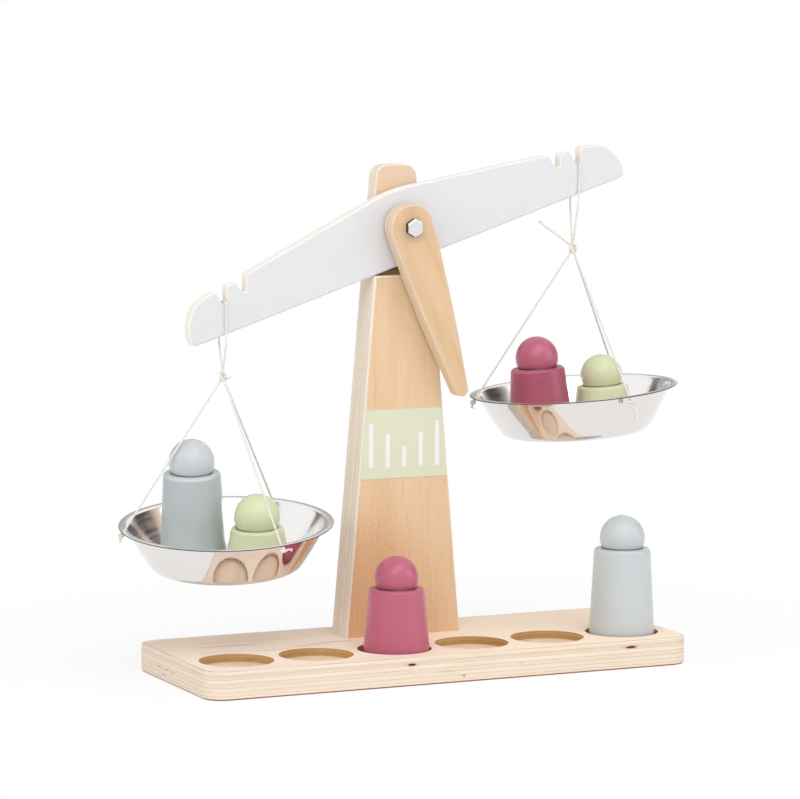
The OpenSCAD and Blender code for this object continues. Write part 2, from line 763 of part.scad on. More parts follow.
// Aims the Z axis of its children from one point to another
module aimed(from, to) {
    way = to - from;
    translate(from) rotate([0, acos(way[2] / norm(way)), atan2(way[1], way[0])]) children();
}

module pan_string(angle, knot_place, place, tilt) {
    hole = hole_place(angle, place, tilt);
    start = knot_d / 2 + string_gap;
    finish = norm(hole - knot_place) + rim_knot_reach - rim_knot_d / 2 - fixed_gap;
    color(cotton) aimed(knot_place, hole)
        translate([0, 0, start]) cylinder(h = finish - start, r = string_r, $fn = 24);
}

module rim_knots(angles, knot_place, place, tilt) {
    color(cotton) for (angle = angles) {
        hole = hole_place(angle, place, tilt);
        middle = hole + unit(hole - knot_place) * rim_knot_reach;
        translate(middle) {
            sphere(d = rim_knot_d, $fn = 32);
            rotate([180 - rim_tail_angle, 0, angle + 90])
                cylinder(h = rim_knot_d * rim_tail_share, r = string_r, $fn = 16);
        }
    }
}

module left_pan_left_string() {
    pan_string(string_angles[0], left_knot_place, left_pan_place, left_pan_tilt);
}

module left_pan_front_string() {
    pan_string(string_angles[1], left_knot_place, left_pan_place, left_pan_tilt);
}

module left_pan_rear_string() {
    pan_string(string_angles[2], left_knot_place, left_pan_place, left_pan_tilt);
}

module left_pan_rim_knots() {
    rim_knots(string_angles, left_knot_place, left_pan_place, left_pan_tilt);
}

module right_pan_left_string() {
    pan_string(right_string_angles[0], right_knot_place, right_pan_place, right_pan_tilt);
}

module right_pan_front_string() {
    pan_string(right_string_angles[1], right_knot_place, right_pan_place, right_pan_tilt);
}

module right_pan_rear_string() {
    pan_string(right_string_angles[2], right_knot_place, right_pan_place, right_pan_tilt);
}

module right_pan_rim_knots() {
    rim_knots(right_string_angles, right_knot_place, right_pan_place, right_pan_tilt);
}

// Weights: a tapered body with a rounded shoulder and a ball sunk in its top

module weight(body_height, shoulder_d, ball_d) {
    bottom_r = weight_bottom_d / 2;
    top_r = shoulder_d / 2;
    foot_r = shoulder_r / 2;
    lean = atan((bottom_r - top_r) / body_height);
    rotate_extrude() polygon(concat(
        [[0, 0]],
        arc([bottom_r - foot_r, foot_r], foot_r, -90, lean, 4),
        arc([top_r - shoulder_r, body_height - shoulder_r], shoulder_r, lean, 90, 5),
        [[0, body_height]]));
    translate([0, 0, body_height + ball_seat_share * ball_d / 2]) sphere(d = ball_d);
}

module in_pan(place, tilt, polar) {
    translate(place) rotate(tilt)
        translate([polar[0] * cos(polar[1]), polar[0] * sin(polar[1]),
            pan_wall - pan_depth + stand_gap])
            children();
}

module in_recess(i, shift) {
    translate([recess_x(i) + shift, -recess_row_y, base_top - recess_depth + stand_gap]) children();
}

module left_tall_weight() {
    color(blue_grey) in_pan(left_pan_place, left_pan_tilt, left_tall_polar)
        weight(tall_body_height, tall_shoulder_d, tall_ball_d);
}

module left_small_weight() {
    color(green) in_pan(left_pan_place, left_pan_tilt, left_small_polar)
        weight(small_body_height, small_shoulder_d, left_small_ball_d);
}

module right_medium_weight() {
    color(rose) in_pan(right_pan_place, right_pan_tilt, right_medium_polar)
        weight(medium_body_height, medium_shoulder_d, medium_ball_d);
}

module right_small_weight() {
    color(green) in_pan(right_pan_place, right_pan_tilt, right_small_polar)
        weight(small_body_height, small_shoulder_d, right_small_ball_d);
}

module stored_medium_weight() {
    color(rose) in_recess(stored_medium_index, stored_medium_shift)
        weight(medium_body_height, medium_shoulder_d, medium_ball_d);
}

module stored_tall_weight() {
    color(blue_grey) in_recess(stored_tall_index, 0)
        weight(tall_body_height, tall_shoulder_d, tall_ball_d);
}

base_board();
back_board();
front_board();
scale_panel();
scale_marks();
base_screws();
beam();
pointer();
pointer_spacer();
pointer_dowel();
pivot_bolt();
beam_washer();
rear_washer();
lock_nut();
left_loop();
left_knot();
right_loop();
right_knot();
left_pan();
left_pan_left_string();
left_pan_front_string();
left_pan_rear_string();
left_pan_rim_knots();
right_pan();
right_pan_left_string();
right_pan_front_string();
right_pan_rear_string();
right_pan_rim_knots();
left_tall_weight();
left_small_weight();
right_medium_weight();
right_small_weight();
stored_medium_weight();
stored_tall_weight();
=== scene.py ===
"""Looks of the wooden balance scale toy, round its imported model: rounded plywood, spun steel
pans, laid cotton cords and painted weights. Metres, +Z up, and the front faces -Y."""
import math

import bmesh
import bpy
from mathutils import Euler, Matrix, Vector


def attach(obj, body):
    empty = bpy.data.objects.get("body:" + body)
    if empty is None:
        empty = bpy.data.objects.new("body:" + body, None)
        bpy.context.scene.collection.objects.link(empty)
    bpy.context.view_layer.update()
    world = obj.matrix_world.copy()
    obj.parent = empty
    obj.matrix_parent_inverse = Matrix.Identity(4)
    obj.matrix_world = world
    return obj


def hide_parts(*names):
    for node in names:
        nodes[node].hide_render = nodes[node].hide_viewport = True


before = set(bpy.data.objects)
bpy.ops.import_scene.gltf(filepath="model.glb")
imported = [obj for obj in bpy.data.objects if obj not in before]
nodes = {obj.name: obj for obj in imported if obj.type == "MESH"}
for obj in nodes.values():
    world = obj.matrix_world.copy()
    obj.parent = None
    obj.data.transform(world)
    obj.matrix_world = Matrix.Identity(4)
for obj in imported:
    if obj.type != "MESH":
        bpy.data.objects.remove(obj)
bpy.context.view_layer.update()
scene = bpy.context.scene

MM = 0.001
X, Y, Z = Vector((1, 0, 0)), Vector((0, 1, 0)), Vector((0, 0, 1))

# Places that the part's source gives, in metres
PIVOT = Vector((0, 22.5, 279)) * MM
BEAM_TILT = math.radians(18.4)
ALONG_BEAM = Vector((math.cos(BEAM_TILT), 0, math.sin(BEAM_TILT)))
DOWN_POINTER = Vector((math.sin(BEAM_TILT), 0, -math.cos(BEAM_TILT)))
NOTCHES = {"left": Vector((-121.569, 22.5, 235.134)) * MM,
           "right": Vector((123.621, 22.5, 316.698)) * MM}
KNOTS = {"left": Vector((-121.369, 22.5, 187.934)) * MM,
         "right": Vector((122.021, 22.5, 260.698)) * MM}
PAN_PLACES = {"left": Vector((-120.269, 20.5, 96.334)) * MM,
              "right": Vector((122.621, 21.6, 170.198)) * MM}
# Turns about X, Y and Z, and where the strings' holes lie round the rim, in degrees
PAN_TILTS = {"left": (5.8, -3.4, 0), "right": (-0.6, -4.2, 0)}
STRING_ANGLES = {"left": {"left": 171, "front": 279, "rear": 41},
                 "right": {"left": 168.3, "front": 276.3, "rear": 38.3}}
STRING_HOLE_R = 65.2 * MM
STRING_D = 1.3 * MM
YARN_D = 0.32 * MM
# How the cut end of a pan's string leaves its knot: outwards, along the rim and up, in mm
CORD_ENDS = {"short": [(0.4, 0.3, -1.2), (0.7, 0.3, -2.6)],
             ("left", "front"): [(0.6, 1.6, -0.4), (0.9, 3.4, 0.3), (0.9, 5, 0.1)],
             ("right", "front"): [(0.6, 2.0, -1.0), (0.9, 3.0, -3.4), (1.0, 3.1, -6.4),
                                  (1.1, 3.1, -8.6)]}
# How much larger than the others a cut end's tuft is
TUFTS = {("right", "front"): 2.4}
# How tall a loop's knot is and how far above its place it is pulled, in mm
LOOP_KNOTS = {"left": (6.4, 0.2), "right": (7.4, 0.6)}
# How the cut end of a loop leaves its knot: along X, Y and Z, in mm
LOOP_ENDS = {"left": [(0.4, -0.6, 0), (1.6, -1.6, 0.4), (2.6, -2.2, -0.4)],
             "right": [(-0.4, 0, 0.8), (-1.5, 0, 2), (-6, -0.5, 5.5), (-12, -1, 9.5),
                       (-18, -1, 13.5), (-24, -1, 17.8)]}
# Where each board's sheet begins, and how thick its plies are
BASE_SHEET, BASE_PLY = Vector((0, 0, 0)), 18 / 7 * MM
POST_SHEET, POST_PLY = Vector((0, 16.7, 18)) * MM, 12 / 5 * MM
POINTER_SHEET = Vector((0, 3, 279)) * MM
BEAM_SHEET, BEAM_PLY = Vector((0, 17.5, 279)) * MM, 10 / 5 * MM
# The base's edge is painted brown up to this height, a painted contact shadow along its foot
FOOT_SHADOW_LINE = 1.05 * MM


# Small tools for nodes and meshes

def add(tree, kind, inputs=(), **settings):
    """A node with its settings. Its inputs are given as values, or as the sockets or nodes to
    link, a node for its first output."""
    node = tree.nodes.new(kind)
    for name, value in settings.items():
        setattr(node, name, value)
    for name, value in dict(inputs).items():
        if isinstance(value, bpy.types.Node):
            value = value.outputs[0]
        if isinstance(value, bpy.types.NodeSocket):
            tree.links.new(value, node.inputs[name])
        else:
            node.inputs[name].default_value = value
    return node


def tone(code):
    """An sRGB hex colour as the linear colour that a shader takes."""
    shares = [int(code[i:i + 2], 16) / 255 for i in (1, 3, 5)]
    return (*[s / 12.92 if s <= 0.04045 else ((s + 0.055) / 1.055) ** 2.4 for s in shares], 1)


def bare_material(name):
    """A new material with an empty tree, and that tree."""
    material = bpy.data.materials.new(name)
    material.use_nodes = True
    material.node_tree.nodes.clear()
    return material, material.node_tree


def new_piece(name, mesh, *materials):
    """An object for a mesh, with the materials given unless the mesh has its own."""
    piece = bpy.data.objects.new(name, mesh)
    scene.collection.objects.link(piece)
    if not mesh.materials:
        for material in materials:
            mesh.materials.append(material)
    return piece


def belongs(piece, body, slot, *cad_nodes):
    """Says which body a piece moves with and what it stands for. Its `slot`, whose finish it
    has, is not used.
    """
    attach(piece, body)
    if cad_nodes:
        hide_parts(*cad_nodes)


def mesh_of(name, skin):
    """A new mesh from a bmesh, which is used up."""
    mesh = bpy.data.meshes.new(name)
    skin.to_mesh(mesh)
    skin.free()
    return mesh


def plain_mesh(host):
    """The finished mesh of an object with modifiers, in place of the object."""
    graph = bpy.context.evaluated_depsgraph_get()
    mesh = bpy.data.meshes.new_from_object(host.evaluated_get(graph))
    mesh.name = host.name
    bpy.data.objects.remove(host)
    return mesh


def carved(blank, tool, operation):
    """The mesh of a blank cut by a tool or kept inside it. Both objects are used up."""
    cut = blank.modifiers.new("carved", "BOOLEAN")
    cut.operation, cut.solver, cut.object = operation, "EXACT", tool
    mesh = plain_mesh(blank)
    bpy.data.objects.remove(tool)
    return mesh


def round_turn(count):
    """The angles of one full turn in equal steps."""
    return [2 * math.pi * k / count for k in range(count)]


# Camera, light and floor

def place_camera():
    """The photograph's view, fitted to the toy's edges in it."""
    azimuth, elevation, roll = (math.radians(a) for a in (-24.3473, 6.48654, 0.10237))
    distance, aside, height, nudge = 2638.8 * MM, -8.33 * MM, 169.62 * MM, 1.2 * MM
    lens, sensor = 186.92, 36
    level = Vector((math.cos(azimuth), math.sin(azimuth), 0))
    back = Vector((math.sin(azimuth) * math.cos(elevation),
                   -math.cos(azimuth) * math.cos(elevation), math.sin(elevation)))
    upright = back.cross(level)
    right = level * math.cos(roll) + upright * math.sin(roll)
    up = upright * math.cos(roll) - level * math.sin(roll)
    place = back * distance + level * aside + upright * height - X * nudge
    turn = Matrix((right, up, back)).transposed().to_4x4()
    camera = bpy.data.objects.new("camera", bpy.data.cameras.new("camera"))
    camera.data.sensor_width = sensor
    camera.data.lens = lens
    camera.matrix_world = Matrix.Translation(place) @ turn
    scene.collection.objects.link(camera)
    scene.camera = camera


def soft_box(name, place, size, watts, mirrored=True):
    """A square lamp that faces the middle of the toy."""
    toy_middle = Vector((0, 0, 0.16))
    lamp = bpy.data.lights.new(name, "AREA")
    lamp.size = size
    lamp.energy = watts
    holder = bpy.data.objects.new(name, lamp)
    way = Vector(place) - toy_middle
    holder.location = place
    holder.rotation_euler = way.to_track_quat("Z", "Y").to_euler()
    holder.visible_camera = False
    holder.visible_glossy = mirrored
    scene.collection.objects.link(holder)


def painted_reflection_card(name, azimuth, elevation, wide, tall, code):
    """A glowing card seen only in what shines, a painted reflection of a part of the studio that
    isn't lit: its middle's direction and its size in degrees. A wider card hangs behind a
    narrower one."""
    a, e = math.radians(azimuth), math.radians(elevation)
    far, eye = 2.5 + wide / 100, Z * 0.15
    way = Vector((math.cos(a) * math.cos(e), math.sin(a) * math.cos(e), math.sin(e)))
    half = Vector((far * math.tan(math.radians(wide / 2)), far * math.tan(math.radians(tall / 2))))
    corners = [Vector((x * half.x, y * half.y, 0))
               for x, y in ((-1, -1), (1, -1), (1, 1), (-1, 1))]
    facing = way.to_track_quat("-Z", "Y").to_matrix().to_4x4()
    place = Matrix.Translation(way * far + eye) @ facing
    mesh = bpy.data.meshes.new(name)
    mesh.from_pydata([place @ c for c in corners], [], [(0, 1, 2, 3)])
    material, tree = bare_material(name)
    glow = add(tree, "ShaderNodeEmission", {"Color": tone(code)})
    add(tree, "ShaderNodeOutputMaterial", {"Surface": glow})
    card = new_piece(name, mesh, material)
    card.visible_camera = card.visible_diffuse = card.visible_shadow = False
    card.visible_transmission = card.visible_volume_scatter = False


def light_studio():
    """A white studio with four soft lamps, and glowing cards seen only in what shines, painted
    reflections of its unlit parts that give the pans their dark and grey streaks. The left lamp
    stays out of the pans, where the dim left side shows."""
    ambient = 0.55
    world = bpy.data.worlds.new("white studio")
    world.use_nodes = True
    scene.world = world
    tree = world.node_tree
    tree.nodes.clear()
    path = add(tree, "ShaderNodeLightPath")
    seen = add(tree, "ShaderNodeMath",
               {0: path.outputs["Is Camera Ray"], 1: path.outputs["Is Glossy Ray"]},
               operation="MAXIMUM")
    seen = add(tree, "ShaderNodeMath",
               {0: seen, 1: path.outputs["Is Transmission Ray"]}, operation="MAXIMUM")
    level = add(tree, "ShaderNodeMapRange", {"Value": seen, "To Min": ambient})
    sky = add(tree, "ShaderNodeBackground", {"Color": (1, 1, 1, 1), "Strength": level})
    add(tree, "ShaderNodeOutputWorld", {"Surface": sky})
    soft_box("key lamp", (-1.5, -1.9, 1.9), 1.1, 15)
    soft_box("fill lamp", (1.9, -1.5, 1.0), 1.4, 12)
    soft_box("front lamp", (0.1, -1.3, 2.2), 1.5, 19)
    soft_box("left lamp", (-2.2, -0.5, 1.0), 1.2, 12, mirrored=False)
    # Painted reflections: glowing cards seen only in what shines
    painted_reflection_card("dark end of the studio", 7, 20, 34, 19, "#4a413f")
    painted_reflection_card("dim edge of the dark end", 7, 20, 50, 30, "#9a9391")
    painted_reflection_card("grey back of the studio", 82, 18, 46, 22, "#aeaaa9")
    painted_reflection_card("dark gap left of the grey back", 112, 18, 14, 24, "#65615f")
    painted_reflection_card("pale strip above the grey back", 71, 28, 20, 12, "#efecea")
    painted_reflection_card("dim left side", 188, 22, 16, 24, "#85817f")


def lay_floor():
    """A white floor that keeps a faint shadow near the toy and shines evenly elsewhere."""
    shadow_share, near, far, radius = 0.17, 0.2, 0.45, 3
    material, tree = bare_material("white paper sweep")
    path = add(tree, "ShaderNodeLightPath")
    seen = add(tree, "ShaderNodeMath",
               {0: path.outputs["Is Camera Ray"], 1: path.outputs["Is Glossy Ray"]},
               operation="MAXIMUM")
    place = add(tree, "ShaderNodeTexCoord")
    reach = add(tree, "ShaderNodeVectorMath", {0: place.outputs["Object"]}, operation="LENGTH")
    glow = add(tree, "ShaderNodeMapRange",
               {"Value": reach.outputs["Value"], "From Min": near, "From Max": far,
                "To Min": 1 - shadow_share})
    share = add(tree, "ShaderNodeMath", {0: seen, 1: glow}, operation="MULTIPLY")
    paper = add(tree, "ShaderNodeBsdfDiffuse", {"Color": (0.95, 0.95, 0.95, 1)})
    shine = add(tree, "ShaderNodeEmission", {"Color": (1, 1, 1, 1)})
    mixed = add(tree, "ShaderNodeMixShader", {0: share, 1: paper, 2: shine})
    add(tree, "ShaderNodeOutputMaterial", {"Surface": mixed})
    skin = bmesh.new()
    bmesh.ops.create_circle(skin, cap_ends=True, segments=96, radius=radius,
                            matrix=Matrix.Translation((0, 0, -0.05 * MM)))
    new_piece("floor", mesh_of("floor", skin), material)


# Materials

def in_sheet(tree, origin, grain, depth):
    """Object coordinates turned to a sheet of plywood: along its grain, across it, and depth."""
    across = depth.cross(grain)
    turn = Matrix((grain, across, depth)).transposed().to_euler()
    place = add(tree, "ShaderNodeTexCoord")
    return add(tree, "ShaderNodeMapping",
               {"Vector": place.outputs["Object"], "Location": origin, "Rotation": turn},
               vector_type="TEXTURE")


def natural_marks(tree, colour, marks):
    """The colour with natural marks of the wood over it, each an uneven ellipsoid given by its
    middle and half sizes in millimetres, its colour and its strength."""
    place = add(tree, "ShaderNodeTexCoord")
    # Their outlines waver by a third of their size, over about 1.5 mm
    ragged = add(tree, "ShaderNodeTexNoise", {"Vector": place.outputs["Object"], "Scale": 650.0})
    for middle, half, code, strength in marks:
        inverse = [1 / (h * MM) for h in half]
        local = add(tree, "ShaderNodeVectorMath",
                    {0: place.outputs["Object"], 1: inverse,
                     2: [-m * MM * i for m, i in zip(middle, inverse)]}, operation="MULTIPLY_ADD")
        away = add(tree, "ShaderNodeVectorMath", {0: local}, operation="LENGTH")
        away = add(tree, "ShaderNodeMath",
                   {0: ragged, 1: 0.8, 2: away.outputs["Value"]}, operation="MULTIPLY_ADD")
        share = add(tree, "ShaderNodeMapRange",
                    {"Value": away, "From Min": 0.95, "From Max": 1.5, "To Min": strength,
                     "To Max": 0.0}, interpolation_type="SMOOTHSTEP")
        mixed = add(tree, "ShaderNodeMix", {0: share, 6: colour, 7: tone(code)}, data_type="RGBA")
        colour = mixed.outputs[2]
    return colour


def plywood_face(name, origin, grain, depth, light, deep, streak, figure=1.0, marks=(),
                 gloss=0.0):
    """Birch plywood face, sanded and clear lacquered: rotary-cut veneer with a soft wide figure
    and fine pores along the grain, matt to satin, the more so the higher `gloss` is."""
    material, tree = bare_material(name)
    sheet = in_sheet(tree, origin, grain, depth)
    # The figure of a rotary-cut veneer is about 20 mm across the grain and 300 mm along it.
    # Fibres are 0.05 mm wide and don't show, so they are drawn 0.7 mm wide. A few darker
    # streaks are 2 mm wide and 60 mm long.
    noises = []
    for stretch, kind in (((4.5, 52, 52), {"Detail": 3.0, "Roughness": 0.55, "Distortion": 0.9}),
                          ((45, 1500, 1500), {"Detail": 2.0, "Roughness": 0.6}),
                          ((14, 420, 420), {"Detail": 1.0})):
        run = add(tree, "ShaderNodeVectorMath", {0: sheet, 1: stretch}, operation="MULTIPLY")
        noises.append(add(tree, "ShaderNodeTexNoise", {"Vector": run, "Scale": 1.0, **kind}))
    flame, fibre, dash = noises
    figured = add(tree, "ShaderNodeMapRange",
                  {"Value": flame, "From Min": 0.35, "From Max": 0.68, "To Max": 0.75 * figure},
                  interpolation_type="SMOOTHSTEP")
    veneer = add(tree, "ShaderNodeMix",
                 {0: figured, 6: tone(light), 7: tone(deep)}, data_type="RGBA")
    for noise, low, high, most in ((fibre, 0.45, 0.8, 0.3), (dash, 0.62, 0.78, 0.35)):
        share = add(tree, "ShaderNodeMapRange",
                    {"Value": noise, "From Min": low, "From Max": high, "To Max": most})
        veneer = add(tree, "ShaderNodeMix",
                     {0: share, 6: veneer.outputs[2], 7: tone(streak)}, data_type="RGBA")
    rough = add(tree, "ShaderNodeMapRange",
                {"Value": fibre, "To Min": 0.42 - gloss, "To Max": 0.6 - gloss})
    relief = add(tree, "ShaderNodeBump",
                 {"Height": fibre, "Strength": 0.25, "Distance": 0.05 * MM})
    colour = natural_marks(tree, veneer.outputs[2], marks)
    wood = add(tree, "ShaderNodeBsdfPrincipled",
               {"Base Color": colour, "Roughness": rough, "Normal": relief,
                "Specular IOR Level": 0.35 + gloss})
    add(tree, "ShaderNodeOutputMaterial", {"Surface": wood})
    return material


def plywood_edge(name, origin, grain, depth, ply, light, deep, glue="#b98c62", plain=1.0,
                 lines=1.0, marks=()):
    """Sawn and sanded birch plywood edge: pale plies whose grain turns by a right angle each,
    smooth streaks in one and smeared end grain in the next, with thin brown glue lines. `plain`
    is how much the plies differ, and `lines` how strong the glue lines are."""
    material, tree = bare_material(name)
    sheet = in_sheet(tree, origin, grain, depth)
    # Plies wander by a few tenths of a millimetre over 40 mm
    wander = add(tree, "ShaderNodeTexNoise", {"Vector": sheet, "Scale": 25.0, "Detail": 1.0})
    shift = add(tree, "ShaderNodeMath", {0: wander, 1: -0.5}, operation="ADD")
    axes = add(tree, "ShaderNodeSeparateXYZ", {0: sheet})
    level = add(tree, "ShaderNodeMath",
                {0: shift, 1: 0.7 * MM, 2: axes.outputs[2]}, operation="MULTIPLY_ADD")
    layer = add(tree, "ShaderNodeMath", {0: level, 1: ply}, operation="DIVIDE")
    index = add(tree, "ShaderNodeMath", {0: layer}, operation="FLOOR")
    share = add(tree, "ShaderNodeMath", {0: layer}, operation="FRACT")
    turned = add(tree, "ShaderNodeMath", {0: index, 1: 2.0}, operation="FLOORED_MODULO")
    # Grain runs are 60 mm long, and a ply's end grain is smeared by the saw; fibres are drawn
    # 1 mm wide so that they show
    along, cross = (add(tree, "ShaderNodeVectorMath", {0: sheet, 1: stretch},
                        operation="MULTIPLY")
                    for stretch in ((16, 260, 1400), (260, 16, 1400)))
    run = add(tree, "ShaderNodeMix", {0: turned, 4: along, 5: cross}, data_type="VECTOR")
    fibre = add(tree, "ShaderNodeTexNoise",
                {"Vector": run.outputs[1], "Scale": 1.0, "Detail": 3.0, "Roughness": 0.65})
    own = add(tree, "ShaderNodeTexWhiteNoise", {"W": index}, noise_dimensions="1D")
    toned = add(tree, "ShaderNodeMath",
                {0: own.outputs["Value"], 1: 0.45 * plain}, operation="MULTIPLY")
    toned = add(tree, "ShaderNodeMath",
                {0: turned, 1: 0.4 * plain, 2: toned}, operation="MULTIPLY_ADD")
    streaks = add(tree, "ShaderNodeMapRange", {"Value": fibre, "From Min": 0.35, "From Max": 0.75})
    amount = add(tree, "ShaderNodeMath",
                 {0: streaks, 1: 0.55, 2: toned}, operation="MULTIPLY_ADD", use_clamp=True)
    wood = add(tree, "ShaderNodeMix", {0: amount, 6: tone(light), 7: tone(deep)}, data_type="RGBA")
    # A glue line is 0.1 mm thick; it is drawn about 0.35 mm wide so that it shows
    middle = add(tree, "ShaderNodeMath", {0: share, 1: 0.5}, operation="SUBTRACT")
    middle = add(tree, "ShaderNodeMath", {0: middle}, operation="ABSOLUTE")
    line = add(tree, "ShaderNodeMapRange",
               {"Value": middle, "From Min": 0.5 - 0.3 * MM / ply, "From Max": 0.5,
                "To Max": 0.75 * lines})
    patchy = add(tree, "ShaderNodeMath", {0: line, 1: wander}, operation="MULTIPLY")
    wood = add(tree, "ShaderNodeMix",
               {0: patchy, 6: wood.outputs[2], 7: tone(glue)}, data_type="RGBA")
    relief = add(tree, "ShaderNodeBump",
                 {"Height": fibre, "Strength": 0.35, "Distance": 0.08 * MM})
    colour = natural_marks(tree, wood.outputs[2], marks)
    shader = add(tree, "ShaderNodeBsdfPrincipled",
                 {"Base Color": colour, "Roughness": 0.62, "Normal": relief,
                  "Specular IOR Level": 0.3})
    add(tree, "ShaderNodeOutputMaterial", {"Surface": shader})
    return material


def painted_wood(name, light, deep, roughness=0.31):
    """Turned beech under two coats of satin lacquer paint: one even colour, clouded a little,
    with a fine orange-peel skin that softens its highlights."""
    material, tree = bare_material(name)
    place = add(tree, "ShaderNodeTexCoord")
    # Clouds about 25 mm wide, and an orange peel about 0.8 mm wide
    cloud = add(tree, "ShaderNodeTexNoise", {"Vector": place.outputs["Object"], "Scale": 40.0})
    peel = add(tree, "ShaderNodeTexNoise",
               {"Vector": place.outputs["Object"], "Scale": 1250.0, "Detail": 1.0})
    paint = add(tree, "ShaderNodeMix", {0: cloud, 6: tone(light), 7: tone(deep)}, data_type="RGBA")
    sheen = add(tree, "ShaderNodeMapRange",
                {"Value": cloud, "To Min": roughness - 0.05, "To Max": roughness + 0.07})
    relief = add(tree, "ShaderNodeBump", {"Height": peel, "Strength": 0.2, "Distance": 0.04 * MM})
    shader = add(tree, "ShaderNodeBsdfPrincipled",
                 {"Base Color": paint.outputs[2], "Roughness": sheen, "Normal": relief,
                  "Specular IOR Level": 0.45})
    add(tree, "ShaderNodeOutputMaterial", {"Surface": shader})
    return material


def spun_steel(name, smooth, rough_, pull, code="#e6e3e1"):
    """Stainless steel sheet, spun to a bowl and polished: a mirror with faint rings left by the
    spinning tool, which pull its reflections out across them into streaks down the wall."""
    material, tree = bare_material(name)
    turn = add(tree, "ShaderNodeUVMap", uv_map="spun")
    # Tool rings are 0.1 mm apart; they are drawn 0.5 mm apart
    rings = add(tree, "ShaderNodeVectorMath", {0: turn, 1: (6, 200, 1)}, operation="MULTIPLY")
    marks = add(tree, "ShaderNodeTexNoise",
                {"Vector": rings, "Scale": 1.0, "Detail": 3.0, "Roughness": 0.7})
    rough = add(tree, "ShaderNodeMapRange",
                {"Value": marks, "From Min": 0.3, "From Max": 0.8, "To Min": smooth,
                 "To Max": rough_})
    relief = add(tree, "ShaderNodeBump",
                 {"Height": marks, "Strength": 0.05, "Distance": 0.02 * MM})
    way = add(tree, "ShaderNodeTangent", direction_type="UV_MAP", uv_map="spun")
    shader = add(tree, "ShaderNodeBsdfPrincipled",
                 {"Base Color": tone(code), "Metallic": 1.0, "Roughness": rough,
                  "Anisotropic": pull, "Anisotropic Rotation": 0.25, "Normal": relief,
                  "Tangent": way})
    add(tree, "ShaderNodeOutputMaterial", {"Surface": shader})
    return material


def zinc_plate(name, code, smooth, rough_):
    """Zinc-plated steel hardware: cool grey metal, half dull, with a fine uneven crystal."""
    material, tree = bare_material(name)
    place = add(tree, "ShaderNodeTexCoord")
    crystal = add(tree, "ShaderNodeTexNoise",
                  {"Vector": place.outputs["Object"], "Scale": 900.0, "Detail": 3.0})
    rough = add(tree, "ShaderNodeMapRange", {"Value": crystal, "To Min": smooth, "To Max": rough_})
    shader = add(tree, "ShaderNodeBsdfPrincipled",
                 {"Base Color": tone(code), "Metallic": 1.0, "Roughness": rough})
    add(tree, "ShaderNodeOutputMaterial", {"Surface": shader})
    return material


def cotton_cord():
    """Three-strand cotton cord, undyed: a soft off-white, rough and slightly fuzzy."""
    material, tree = bare_material("cotton cord, undyed")
    place = add(tree, "ShaderNodeTexCoord")
    # Yarn fibres are 0.02 mm thick; they are drawn 0.15 mm thick
    yarn = add(tree, "ShaderNodeTexNoise", {"Vector": place.outputs["Object"], "Scale": 6500.0})
    shade = add(tree, "ShaderNodeMix",
                {0: yarn, 6: tone("#e9e5df"), 7: tone("#dcd7cf")}, data_type="RGBA")
    relief = add(tree, "ShaderNodeBump", {"Height": yarn, "Strength": 0.15, "Distance": 0.1 * MM})
    shader = add(tree, "ShaderNodeBsdfPrincipled",
                 {"Base Color": shade.outputs[2], "Roughness": 0.92, "Sheen Weight": 0.15,
                  "Sheen Roughness": 0.5, "Normal": relief, "Specular IOR Level": 0.2})
    add(tree, "ShaderNodeOutputMaterial", {"Surface": shader})
    return material


def printed_film(name, ink, shade):
    """A matt printed film stuck on the wood: flat colour with a faint print mottle."""
    material, tree = bare_material(name)
    place = add(tree, "ShaderNodeTexCoord")
    # Mottle spots about 3 mm wide
    mottle = add(tree, "ShaderNodeTexNoise", {"Vector": place.outputs["Object"], "Scale": 330.0})
    colour = add(tree, "ShaderNodeMix",
                 {0: mottle, 6: tone(ink), 7: tone(shade)}, data_type="RGBA")
    relief = add(tree, "ShaderNodeBump",
                 {"Height": mottle, "Strength": 0.05, "Distance": 0.05 * MM})
    shader = add(tree, "ShaderNodeBsdfPrincipled",
                 {"Base Color": colour.outputs[2], "Roughness": 0.58, "Normal": relief,
                  "Specular IOR Level": 0.35})
    add(tree, "ShaderNodeOutputMaterial", {"Surface": shader})
    return material


place_camera()
light_studio()
lay_floor()

# Grey streaks and small knots on the base's top veneer, whose left half is pinker and whose
# right end is warmer
BASE_TOP_MARKS = [((-165, 0, 18), (210, 200, 40), "#f4deca", 0.4),
                  ((120, 0, 18), (120, 200, 40), "#ffe8cc", 0.6),
                  ((-119, 22.5, 18), (26, 1.6, 9), "#b59c8b", 0.65),
                  ((-69, 4.3, 18), (17, 1.2, 9), "#ab9282", 0.75),
                  ((-53, 9.4, 18), (22, 1.4, 9), "#b0988a", 0.65),
                  ((-99, -2.3, 18), (15, 1.1, 9), "#b59c8b", 0.6),
                  ((67.9, -6.5, 17), (1.3, 1, 2), "#6b4a34", 0.9),
                  ((122.2, -3.4, 17), (1.5, 1, 2), "#6b4a34", 0.9)]
# The edge's darker ply, two voids with stained rims, a pin knot and a stain in its front, and
# dark lines of end grain in its left end
BASE_EDGE_MARKS = ([((0, 0, 14.5), (400, 400, 1.0), "#dfc6ad", 0.6),
                    ((-30.4, -63.5, 13.7), (7, 3, 1.7), "#dcb8a2", 0.7),
                    ((-30.4, -63.5, 13.7), (3.4, 3, 0.9), "#2c2019", 1.0),
                    ((121.9, -63.5, 14.0), (8, 3, 1.7), "#dbb49d", 0.7),
                    ((121.9, -63.5, 14.0), (4.4, 3, 0.95), "#4a2e26", 1.0),
                    ((5.1, -63.5, 4.2), (1.7, 3, 1.1), "#a5876d", 0.7),
                    ((-6.2, -63.5, 7.7), (10, 3, 0.7), "#d6bb9d", 0.7)]
                   + [((-165, y, z), (2, wide, 0.42), "#94735f", 0.7)
                      for y, z, wide in ((22, 8.6, 5), (9, 8.4, 4), (-3, 8.7, 3), (14, 4.4, 6))])
